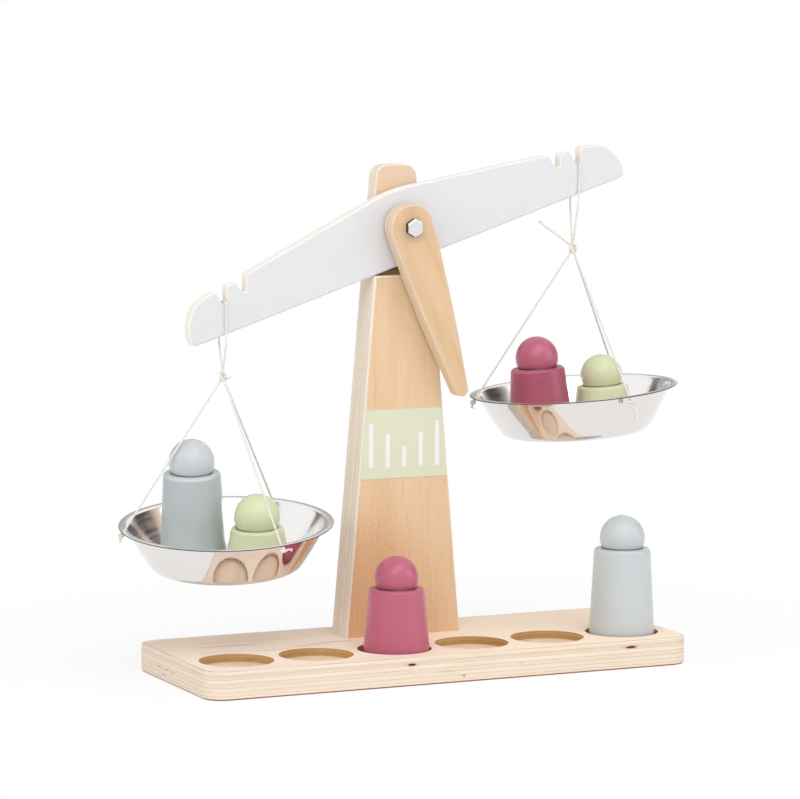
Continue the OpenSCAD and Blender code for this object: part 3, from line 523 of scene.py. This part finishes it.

# The base's top veneer is near white: partly its own pale tone, partly painted light that makes up
# for the shade the beam and pans cast over it
base_face = plywood_face("birch plywood face, base, lacquered", BASE_SHEET, X, Z, "#fff2e4",
                         "#f6e0ca", "#cca680", marks=BASE_TOP_MARKS, gloss=-0.12)
base_edge = plywood_edge("birch plywood edge, base, sanded", BASE_SHEET, X, Z, BASE_PLY,
                         "#efe3d3", "#d3bb9d", "#b0875f", 0.28, 1.15, BASE_EDGE_MARKS)
# A painted contact shadow: the base's edge painted brown along its foot
painted_foot_shadow = plywood_edge("birch plywood edge, shadowed brown along the foot", BASE_SHEET, X, Z,
                         BASE_PLY, "#a8664a", "#90563e")
recess_floor = plywood_face("birch plywood face, recess floor, milled", BASE_SHEET, Y, Z,
                            "#f3dec7", "#e8cdb0", "#c39b76", gloss=0.1)
# Recess walls darker than the outer edge: partly milled wood's own tone, partly painted shade
recess_wall = plywood_edge("birch plywood edge, drilled recess", BASE_SHEET, X, Z, BASE_PLY,
                           "#d2ad79", "#b28a57", "#714d29")
# The post is painted a darker orange towards its foot, a painted shade, and the back board is
# painted dark brown below the beam, a painted shadow in the gap there. The back board is paler
# and pinker at the top
POST_MARKS_AND_SHADES = [((-40, 22, 20), (75, 30, 95), "#cf8f52", 0.42),
              ((0, 28.7, 316), (70, 3, 40), "#dcc2ab", 0.75),
              ((-6, 28.7, 257), (22, 3.5, 8), "#6e3408", 0.85)]
post_face = plywood_face("birch plywood face, post, lacquered", POST_SHEET, Z, Y,
                         "#e2c4a1", "#d9b48c", "#cc9d70", 0.8, POST_MARKS_AND_SHADES)
post_edge = plywood_edge("birch plywood edge, post, sanded", POST_SHEET, Z, Y, POST_PLY,
                         "#f8eddf", "#e6d6c3", "#b49a80")
pointer_face = plywood_face("birch plywood face, pointer, lacquered", PIVOT, DOWN_POINTER, Y,
                            "#dcbd99", "#d0ab82", "#c29468", 0.8)
pointer_edge = plywood_edge("birch plywood edge, pointer, sanded", POINTER_SHEET, DOWN_POINTER,
                            Y, POST_PLY, "#efe0cc", "#d9bd9c")
beam_edge = plywood_edge("birch plywood edge, beam, sanded", BEAM_SHEET, ALONG_BEAM, Y, BEAM_PLY,
                         "#f8f4ed", "#ede4d8", "#dbcab6", 0.6, 0.6)
white_paint = painted_wood("white satin paint on plywood", "#dbdbdc", "#d6d6d9", 0.42)
# The weights' paint by size, as laid on and as a painted shade in the corner below the head,
# and its finish's name
WEIGHT_PAINTS = {
    "tall": (painted_wood("blue-grey satin paint on beech", "#c5cbcd", "#bcc2c3"),
             painted_wood("blue-grey satin paint, gathered", "#5e676c", "#575f64"),
             "blue_grey_paint"),
    "medium": (painted_wood("rose satin paint on beech", "#bd637b", "#b2586f"),
               painted_wood("rose satin paint, gathered", "#4a1a2a", "#441726"), "rose_paint"),
    "small": (painted_wood("pale green satin paint on beech", "#d5d9b5", "#cbd1a8"),
              painted_wood("pale green satin paint, gathered", "#7b8052", "#72774b"),
              "green_paint")}
# Two of the weights in the pans have a body painted darker than the head, a painted shade
SHADED_BODIES = {
    "left_tall_weight": [painted_wood("blue-grey satin paint, deeper", "#b6bcbe", "#aeb4b6")],
    "right_medium_weight": [painted_wood("rose satin paint, deeper", "#ab526a", "#a04860")]}
steel_outside = spun_steel("stainless steel, spun, polished outside", 0.05, 0.12, 0.3)
# The inside is paler steel than the outside, painted light that brightens what it mirrors
steel_inside = spun_steel("stainless steel, spun, brushed inside", 0.12, 0.26, 0.75, "#f4f2f0")
# The sheet's cut edge is painted dark grey, a painted shade that outlines the rim
shaded_steel_edge = spun_steel("stainless steel, trimmed edge of the sheet", 0.4, 0.5, 0.0, "#565150")
zinc = zinc_plate("zinc-plated steel, bright", "#e4e4e2", 0.14, 0.34)
# The hexagon's flanks are painted dark, a painted shade on the bolt's and nut's sides
shaded_zinc_flank = zinc_plate("zinc-plated steel, darkened flanks", "#5d5753", 0.3, 0.5)
cotton = cotton_cord()
panel_film = printed_film("pale green matt film", "#d8dac0", "#d3d5ba")
mark_film = printed_film("white matt film print", "#eeeaea", "#e8e5e5")


# Wood

def dressed(node, *materials, edge=0.0, depth=None, spare=(), flat=0.97):
    """A copy of a CAD node as one clean skin. Its sharp edges are rounded over by `edge`, apart
    from those round the bores in `spare`, given as x, z and radius. The first material lies on
    faces square to `depth`, down to the cosine `flat`, and the second on the sheet's edges."""
    skin = bmesh.new()
    skin.from_mesh(nodes[node].data)
    bmesh.ops.remove_doubles(skin, verts=skin.verts, dist=0.002 * MM)
    bmesh.ops.dissolve_limit(skin, angle_limit=math.radians(0.5), verts=skin.verts,
                             edges=skin.edges)
    if edge:
        sharp = [e for e in skin.edges if len(e.link_faces) == 2
                 and e.calc_face_angle() > math.radians(40)
                 and not any(math.hypot(v.co.x - x, v.co.z - z) < r
                             for v in e.verts for x, z, r in spare)]
        bmesh.ops.bevel(skin, geom=sharp, offset=edge, segments=4, profile=0.5,
                        affect="EDGES", clamp_overlap=True)
    if depth is not None:
        for face in skin.faces:
            face.material_index = 0 if abs(face.normal.dot(depth)) > flat else 1
    mesh = mesh_of(node, skin)
    mesh.shade_smooth()
    mesh.set_sharp_from_angle(angle=math.radians(38))
    piece = new_piece("dressed_" + node, mesh, *materials)
    piece.modifiers.new("flat faces stay flat", "WEIGHTED_NORMAL").keep_sharp = True
    return piece


def dress_wood():
    """The boards, with the base's recesses and a painted contact shadow along its foot in
    materials of their own.
    """
    edge, wall, floor, foot = 1, 2, 3, 4
    within_x, within_y, floor_low, floor_high = 160 * MM, 58 * MM, 12 * MM, 14 * MM
    pivot_bore = 0, 279 * MM, 4 * MM
    base = dressed("base_board", base_face, base_edge, recess_wall, recess_floor, painted_foot_shadow,
                   edge=0.5 * MM, depth=Z)
    skin = bmesh.new()
    skin.from_mesh(base.data)
    bmesh.ops.bisect_plane(skin, geom=[*skin.verts, *skin.edges, *skin.faces],
                           plane_co=Z * FOOT_SHADOW_LINE, plane_no=Z)
    skin.to_mesh(base.data)
    skin.free()
    for face in base.data.polygons:
        if abs(face.center.x) < within_x and abs(face.center.y) < within_y:
            if face.material_index == edge:
                face.material_index = wall
            elif floor_low < face.center.z < floor_high:
                face.material_index = floor
        # Edge faces below the line carry the painted contact shadow
        elif face.material_index == edge and face.center.z < FOOT_SHADOW_LINE:
            face.material_index = foot
    belongs(base, "stand", "plywood", "base_board")
    for node in ("back_board", "front_board"):
        board = dressed(node, post_face, post_edge, edge=0.35 * MM, depth=Y, spare=[pivot_bore])
        belongs(board, "stand", "plywood", node)
    beam = dressed("beam", white_paint, beam_edge, depth=Y, flat=0.9)
    belongs(beam, "beam", "white_paint", "beam")
    pointer = dressed("pointer", pointer_face, pointer_edge, depth=Y)
    belongs(pointer, "beam", "plywood", "pointer")
    for node in ("pointer_spacer", "pointer_dowel"):
        belongs(dressed(node, pointer_edge), "beam", "plywood", node)


def dress_weights():
    """The turned weights. Where the head meets the body, a painted shade darkens the corner."""
    shaded_crease, body = 1, 2
    for node in nodes:
        if node.endswith("_weight"):
            paint, crease, slot = WEIGHT_PAINTS[node.split("_")[1]]
            shaded_body = SHADED_BODIES.get(node, [])
            weight = dressed(node, paint, crease, *shaded_body)
            skin = bmesh.new()
            skin.from_mesh(weight.data)
            corner = [e for e in skin.edges if len(e.link_faces) == 2
                      and e.calc_face_angle_signed() < -math.radians(35)]
            # Faces below the neck take the body's painted shade
            if shaded_body:
                neck = sum((v.co for e in corner for v in e.verts), Vector()) / len(corner) / 2
                middle = sum((Vector(c) for c in weight.bound_box), Vector()) / 8
                for face in skin.faces:
                    if (face.calc_center_median() - neck).dot(middle - neck) > 0:
                        face.material_index = body
            # A thin fillet in the corner below the head carries the painted crease shade
            bmesh.ops.bevel(skin, geom=corner, offset=0.85 * MM, segments=1,
                            affect="EDGES", clamp_overlap=True, material=shaded_crease)
            skin.to_mesh(weight.data)
            skin.free()
            belongs(weight, node, slot, node)


# Pans

def arc(x, z, radius, start, end, steps):
    """Points of an arc in a profile, its angles in degrees."""
    angles = [math.radians(start + (end - start) * i / steps) for i in range(steps + 1)]
    return [(x + radius * math.cos(a), z + radius * math.sin(a)) for a in angles]


def bowed(low, high, lean):
    """Points of a pan's wall, which bows outwards between the given two."""
    x, z = high[0] - low[0], high[1] - low[1]
    bow = math.tan(math.radians(lean)) / 4
    return [(low[0] + t * x + 4 * t * (1 - t) * bow * z,
             low[1] + t * z - 4 * t * (1 - t) * bow * x) for t in (k / 12 for k in range(1, 12))]


def pan_profile():
    """Half the section of a pan's sheet in millimetres, from under its middle to over it, and
    where in it the sheet's cut edge begins and ends."""
    rim, lip, deep, floor_r, disc, bend, sheet = 67.3, 4.2, 28.6, 47, 20, 8, 0.6
    # The wall bows outwards by so many degrees at its ends, and joins the lip in a tight turn
    lean, turn = 3.1, 1.2
    slope = math.degrees(math.atan2(deep, rim - lip - floor_r))
    half = math.tan(math.radians(slope / 2))
    outer, inner = bend + sheet, bend
    wall_x = rim - lip - sheet / math.tan(math.radians(slope))
    foot, top = slope - lean - 90, slope + lean + 90
    under = arc(floor_r - outer * half, outer - deep, outer, -90, foot, 14)
    under_lip = wall_x + turn * half, -sheet - turn
    below = arc(*under_lip, turn, top, 90, 5)
    edge = arc(rim - sheet / 2, -sheet / 2, sheet / 2, -90, 90, 8)
    above = arc(*under_lip, turn + sheet, 90, top, 5)
    over = arc(floor_r - sheet * half - inner * half, sheet - deep + inner, inner,
               foot, -90, 14)
    outside = [(0, -deep), (disc, -deep)] + under + bowed(under[-1], below[0], lean) + below + edge
    inside = above + bowed(over[0], above[-1], lean)[::-1] + over
    marks = len(outside) - len(edge), len(outside) - 1
    return outside + inside + [(disc, sheet - deep), (0, sheet - deep)], marks


def lathe(profile, edge):
    """A closed skin turned round Z from a profile in millimetres that begins and ends at its
    middle, with its UV's U round the turn and V along the profile in metres. Its materials are
    the one before its edge, the one past it and the edge's own."""
    segments = 192
    skin = bmesh.new()
    uv = skin.loops.layers.uv.new("spun")
    rings = [[skin.verts.new((x * MM * math.cos(t), x * MM * math.sin(t), z * MM))
              for t in (round_turn(segments) if x else [0])] for x, z in profile]
    run = [0]
    for a, b in zip(profile, profile[1:]):
        run.append(run[-1] + math.dist(a, b) * MM)
    for i, (low, high) in enumerate(zip(rings, rings[1:])):
        for k in range(segments):
            corners = []
            for ring, turn, v in ((low, k, run[i]), (low, k + 1, run[i]),
                                  (high, k + 1, run[i + 1]), (high, k, run[i + 1])):
                vert = ring[turn % segments] if len(ring) > 1 else ring[0]
                if all(vert is not c[0] for c in corners):
                    corners.append((vert, (turn / segments, v)))
            face = skin.faces.new([c[0] for c in corners])
            face.material_index = 0 if i < edge[0] else 1 if i >= edge[1] else 2
            for loop, corner in zip(face.loops, corners):
                loop[uv].uv = corner[1]
    return skin


def pan_frame(side):
    """Where a pan hangs and how it tilts."""
    turn = Euler([math.radians(a) for a in PAN_TILTS[side]]).to_matrix().to_4x4()
    return Matrix.Translation(PAN_PLACES[side]) @ turn


def round_pan(angle, far=1, up=0):
    """The place at an angle in degrees round a pan, so far out from its middle and so high."""
    a = math.radians(angle)
    return Vector((far * math.cos(a), far * math.sin(a), up))


def spin_pan(side):
    """A pan spun from sheet, with its string holes punched."""
    hole_r, depth = 1.15 * MM, 4 * MM
    mesh = mesh_of(side + "_steel_pan", lathe(*pan_profile()))
    pan = new_piece("blank", mesh, steel_outside, steel_inside, shaded_steel_edge)
    skin = bmesh.new()
    for angle in STRING_ANGLES[side].values():
        spot = Matrix.Translation(round_pan(angle, STRING_HOLE_R))
        bmesh.ops.create_cone(skin, cap_ends=True, segments=32, radius1=hole_r, radius2=hole_r,
                              depth=depth, matrix=spot)
    punch = new_piece("punch", mesh_of("punch", skin), steel_outside)
    mesh = carved(pan, punch, "DIFFERENCE")
    mesh.transform(pan_frame(side))
    mesh.shade_smooth()
    mesh.set_sharp_from_angle(angle=math.radians(50))
    belongs(new_piece(side + "_steel_pan", mesh), side + "_pan", "pan_steel", side + "_pan")


# Cords

def laid_cord_tree():
    """Geometry Nodes: three strands laid round each path of the mesh's edges."""
    tree = bpy.data.node_groups.new("laid cord", "GeometryNodeTree")
    sockets = tree.interface
    for name, kind in (("Geometry", "Geometry"), ("Strands", "Int"), ("Strand radius", "Float"),
                       ("Lay radius", "Float"), ("Lay length", "Float"), ("Step", "Float"),
                       ("Sides", "Int"), ("Material", "Material")):
        sockets.new_socket(name, in_out="INPUT", socket_type="NodeSocket" + kind)
    sockets.new_socket("Geometry", in_out="OUTPUT", socket_type="NodeSocketGeometry")
    given = add(tree, "NodeGroupInput").outputs
    path = add(tree, "GeometryNodeMeshToCurve", {0: given["Geometry"]})
    even = add(tree, "GeometryNodeResampleCurve",
               {"Curve": path, "Length": given["Step"]}, mode="LENGTH")
    strands = add(tree, "GeometryNodeDuplicateElements",
                  {"Geometry": even, "Amount": given["Strands"]}, domain="SPLINE")
    run = add(tree, "GeometryNodeSplineParameter")
    turns = add(tree, "ShaderNodeMath",
                {0: run.outputs["Length"], 1: given["Lay length"]}, operation="DIVIDE")
    own = add(tree, "ShaderNodeMath",
              {0: strands.outputs["Duplicate Index"], 1: given["Strands"]}, operation="DIVIDE")
    turns = add(tree, "ShaderNodeMath", {0: turns, 1: own}, operation="ADD")
    angle = add(tree, "ShaderNodeMath", {0: turns, 1: 2 * math.pi}, operation="MULTIPLY")
    cosine = add(tree, "ShaderNodeMath", {0: angle}, operation="COSINE")
    sine = add(tree, "ShaderNodeMath", {0: angle}, operation="SINE")
    normal = add(tree, "GeometryNodeInputNormal")
    along = add(tree, "GeometryNodeInputTangent")
    beside = add(tree, "ShaderNodeVectorMath", {0: along, 1: normal}, operation="CROSS_PRODUCT")
    over = add(tree, "ShaderNodeVectorMath", {0: normal, "Scale": cosine}, operation="SCALE")
    aside = add(tree, "ShaderNodeVectorMath", {0: beside, "Scale": sine}, operation="SCALE")
    way = add(tree, "ShaderNodeVectorMath", {0: over, 1: aside}, operation="ADD")
    offset = add(tree, "ShaderNodeVectorMath",
                 {0: way, "Scale": given["Lay radius"]}, operation="SCALE")
    laid = add(tree, "GeometryNodeSetPosition", {"Geometry": strands, "Offset": offset})
    round_ = add(tree, "GeometryNodeCurvePrimitiveCircle",
                 {"Resolution": given["Sides"], "Radius": given["Strand radius"]})
    skin = add(tree, "GeometryNodeCurveToMesh",
               {"Curve": laid, "Profile Curve": round_, "Fill Caps": True})
    smooth = add(tree, "GeometryNodeSetShadeSmooth", {"Geometry": skin})
    real = add(tree, "GeometryNodeRealizeInstances", {0: smooth})
    finished = add(tree, "GeometryNodeSetMaterial",
                   {"Geometry": real, "Material": given["Material"]})
    add(tree, "NodeGroupOutput", {0: finished})
    return tree


CORD_TREE = laid_cord_tree()


def cord_mesh(name, paths, strands=3, thick=STRING_D, lay=5 * MM, step=0.5 * MM, sides=8):
    """Cords along the given paths, as one plain mesh. Three round strands that touch lie 1.155
    of their radius from the middle; soft ones press together to 0.38."""
    pressed = 0.38 if strands > 1 else 0
    radius = thick / 2 / (1 + pressed)
    points, edges = [], []
    for path in paths:
        edges += [(len(points) + i, len(points) + i + 1) for i in range(len(path) - 1)]
        points += path
    mesh = bpy.data.meshes.new(name)
    mesh.from_pydata(points, edges, [])
    host = new_piece(name, mesh)
    modifier = host.modifiers.new("laid cord", "NODES")
    modifier.node_group = CORD_TREE
    values = {"Strands": strands, "Strand radius": radius, "Lay radius": radius * pressed,
              "Lay length": lay, "Step": step, "Sides": sides, "Material": cotton}
    for socket in CORD_TREE.interface.items_tree:
        if socket.in_out == "INPUT" and socket.name in values:
            modifier[socket.identifier] = values[socket.name]
    host.update_tag()
    bpy.context.view_layer.update()
    made = plain_mesh(host)
    bpy.data.meshes.remove(mesh)
    return made


def joined(name, meshes):
    """Several meshes as one."""
    skin = bmesh.new()
    for mesh in meshes:
        skin.from_mesh(mesh)
        bpy.data.meshes.remove(mesh)
    whole = mesh_of(name, skin)
    whole.shade_smooth()
    return whole


def smooth_path(points, steps=8):
    """A Catmull-Rom curve through the given points."""
    ends = [points[0] * 2 - points[1], *points, points[-1] * 2 - points[-2]]
    path = []
    for a, b, c, d in zip(ends, ends[1:], ends[2:], ends[3:]):
        for k in range(steps):
            t = k / steps
            path.append(0.5 * (2 * b + (c - a) * t + (2 * a - 5 * b + 4 * c - d) * t * t
                               + (3 * b - a - 3 * c + d) * t ** 3))
    return path + [points[-1]]


def pulled_knot(middle, way, wide, tall, turn):
    """The path of an overhand knot pulled tight round a cord that runs along `way`."""
    reach = (wide - STRING_D) / 2
    across, inside = reach * 0.6, reach * 0.4
    stretch = (tall - STRING_D) / 2 / inside
    facing = way.to_track_quat("Z", "Y").to_matrix()
    path = []
    for t in round_turn(96) + [2 * math.pi]:
        r = across + inside * math.cos(3 * t)
        path.append(middle + facing @ Vector((r * math.cos(2 * t + turn),
                                              r * math.sin(2 * t + turn),
                                              -inside * stretch * math.sin(3 * t))))
    return path


def loose_tip(point, way, seed, size=1.0):
    """Short yarns that splay from a cut end."""
    side = way.orthogonal().normalized()
    other = way.cross(side)
    paths = []
    for k in range(round(16 * size)):
        a = 2.4 * k + seed
        spread = 0.25 + 0.65 * ((k * 0.618 + seed) % 1)
        out = (side * math.cos(a) + other * math.sin(a)) * spread
        long_ = (1.1 + 0.9 * ((k * 0.381 + seed) % 1)) * size * MM
        start = point - way * 0.5 * MM + out * 0.35 * MM
        paths.append([start, start + (way + out * 0.5) * long_ * 0.5,
                      start + (way * 0.85 + out) * long_])
    return paths


def tied_ends(name, paths, tips):
    """Knots and cut ends, as one mesh with the yarns at their tips."""
    return joined(name, [cord_mesh("knots", paths, lay=4 * MM, step=0.3 * MM),
                         cord_mesh("tips", tips, strands=1, thick=YARN_D, sides=5)])


def hang_pan(side):
    """A pan's three strings, from the knot through the holes in its lip to their end knots."""
    knot = KNOTS[side]
    paths, knots, tips = [], [], []
    for k, (name, angle) in enumerate(STRING_ANGLES[side].items()):
        hole = pan_frame(side) @ round_pan(angle, STRING_HOLE_R, -0.3 * MM)
        way = (hole - knot).normalized()
        end = hole + way * 3.3 * MM
        paths.append([knot + way * 1.2 * MM, end])
        knots.append(pulled_knot(end, way, 4.2 * MM, 3.9 * MM, k))
        out = round_pan(angle)
        beside = Z.cross(out)
        tail = [end] + [end + (out * o + beside * b + Z * z) * MM
                        for o, b, z in CORD_ENDS.get((side, name), CORD_ENDS["short"])]
        knots.append(smooth_path(tail))
        tips += loose_tip(tail[-1], (tail[-1] - tail[-2]).normalized(), k * 1.7 + 0.3,
                          TUFTS.get((side, name), 1.0))
    strings = new_piece(side + "_pan_cords", cord_mesh(side + "_pan_cords", paths), cotton)
    belongs(strings, side + "_pan", "cotton", side + "_pan_left_string",
            side + "_pan_front_string", side + "_pan_rear_string")
    name = side + "_pan_end_knots"
    belongs(new_piece(name, tied_ends(name, knots, tips), cotton), side + "_pan", "cotton",
            side + "_pan_rim_knots")


def hang_loop(side):
    """A loop that lies over its notch, falls down both faces of the tilted beam and closes below
    it, in a knot of two tight turns."""
    notch, knot = NOTCHES[side], KNOTS[side]
    turn, half_beam, notch_to_edge = 0.95 * MM, 5 * MM, 22.8 * MM
    face = half_beam + turn
    fall = (notch_to_edge + turn) / math.cos(BEAM_TILT) + 1.3 * MM
    below = knot - notch
    lean = below.x / -below.z
    strand = [below + Vector((0, 0.5 * MM, 1.6 * MM)), below + Vector((0, 1.1 * MM, 6 * MM)),
              Vector((lean * fall, face, -fall))]
    strand += [Vector((0, face - a * turn, -b * turn))
               for a, b in ((0, 8), (0, 2), (0.1, 1), (0.4, 0.35), (1.1, 0))]
    strand += [Vector((0, 2.5 * MM, 0))]
    front = [Vector((p.x, -p.y, p.z)) for p in reversed(strand)]
    path = [notch + p for p in smooth_path(strand[:3], 4) + smooth_path(strand[3:] + front[:-3])
            + smooth_path(front[-3:], 4)]
    loop = new_piece(side + "_cord_loop", cord_mesh(side + "_cord_loop", [path]), cotton)
    belongs(loop, side + "_hanger", "cotton", side + "_loop")
    tall, raised = LOOP_KNOTS[side]
    tall, middle = tall * MM, knot + Z * raised * MM
    paths = [pulled_knot(middle, Z, 5.6 * MM, tall, 0.4),
             pulled_knot(middle + Z * 0.4 * MM, (Z + X * 0.35).normalized(), 5.2 * MM,
                         tall * 0.82, 1.9)]
    tail = [knot + Vector(p) * MM for p in LOOP_ENDS[side]]
    paths.append(smooth_path(tail))
    tips = loose_tip(tail[-1], (tail[-1] - tail[-2]).normalized(), 0.9)
    name = side + "_tied_knot"
    belongs(new_piece(name, tied_ends(name, paths, tips), cotton), side + "_hanger", "cotton",
            side + "_knot")


# Hardware

def turned_hexagon(node, profile):
    """A bolt or nut whose hexagon is chamfered as on a lathe: what lies inside a shape turned
    round the pivot from the given places along Y and radii, in millimetres."""
    segments, hexagon_r = 96, 4.9 * MM
    blank = dressed(node, zinc)
    blank.modifiers.clear()
    skin = bmesh.new()
    rings = [[skin.verts.new((PIVOT.x + r * MM * math.cos(t), y * MM,
                              PIVOT.z + r * MM * math.sin(t)))
              for t in round_turn(segments)] for y, r in profile]
    for low, high in zip(rings, rings[1:]):
        for k in range(segments):
            after = (k + 1) % segments
            skin.faces.new((low[k], high[k], high[after], low[after]))
    skin.faces.new(rings[0])
    skin.faces.new(rings[-1][::-1])
    bmesh.ops.recalc_face_normals(skin, faces=skin.faces)
    lathe_cut = new_piece("turned", mesh_of("turned", skin), zinc)
    mesh = carved(blank, lathe_cut, "INTERSECT")
    mesh.shade_smooth()
    mesh.set_sharp_from_angle(angle=math.radians(24))
    # The hexagon's flanks are painted darker than what was turned, a painted shade on its sides
    mesh.materials.append(shaded_zinc_flank)
    for face in mesh.polygons:
        radius = math.hypot(face.center.x - PIVOT.x, face.center.z - PIVOT.z)
        if abs(face.normal.y) < 0.1 and radius > hexagon_r:
            face.material_index = len(mesh.materials) - 1
    belongs(new_piece("turned_" + node, mesh), "stand", "zinc_steel", node)


def dress_hardware():
    """Screws, washers, the bolt with the rings of its thread behind the nut, and the nut."""
    for node in ("base_screws", "beam_washer", "rear_washer"):
        belongs(dressed(node, zinc, edge=0.15 * MM), "stand", "zinc_steel", node)
    thread = [(47 + k / 2, 2.55 if k % 2 else 3.2) for k in range(5)]
    turned_hexagon("pivot_bolt", [(-1.01, 4.6), (-0.35, 5.9), (3.1, 5.9), (3.11, 3.2)] + thread
                   + [(49.5, 2.9), (49.92, 2.45)])
    turned_hexagon("lock_nut", [(41.89, 4.7), (42.5, 5.9), (45.6, 5.9), (46.2, 4.75),
                                (47.3, 4.7), (47.91, 4.1)])


def dress_panel():
    """The panel and its marks keep their CAD shape."""
    for node, film in (("scale_panel", panel_film), ("scale_marks", mark_film)):
        nodes[node].data.materials.clear()
        nodes[node].data.materials.append(film)


dress_wood()
dress_weights()
for side in ("left", "right"):
    spin_pan(side)
    hang_pan(side)
    hang_loop(side)
dress_hardware()
dress_panel()

scene.view_settings.view_transform = "Standard"
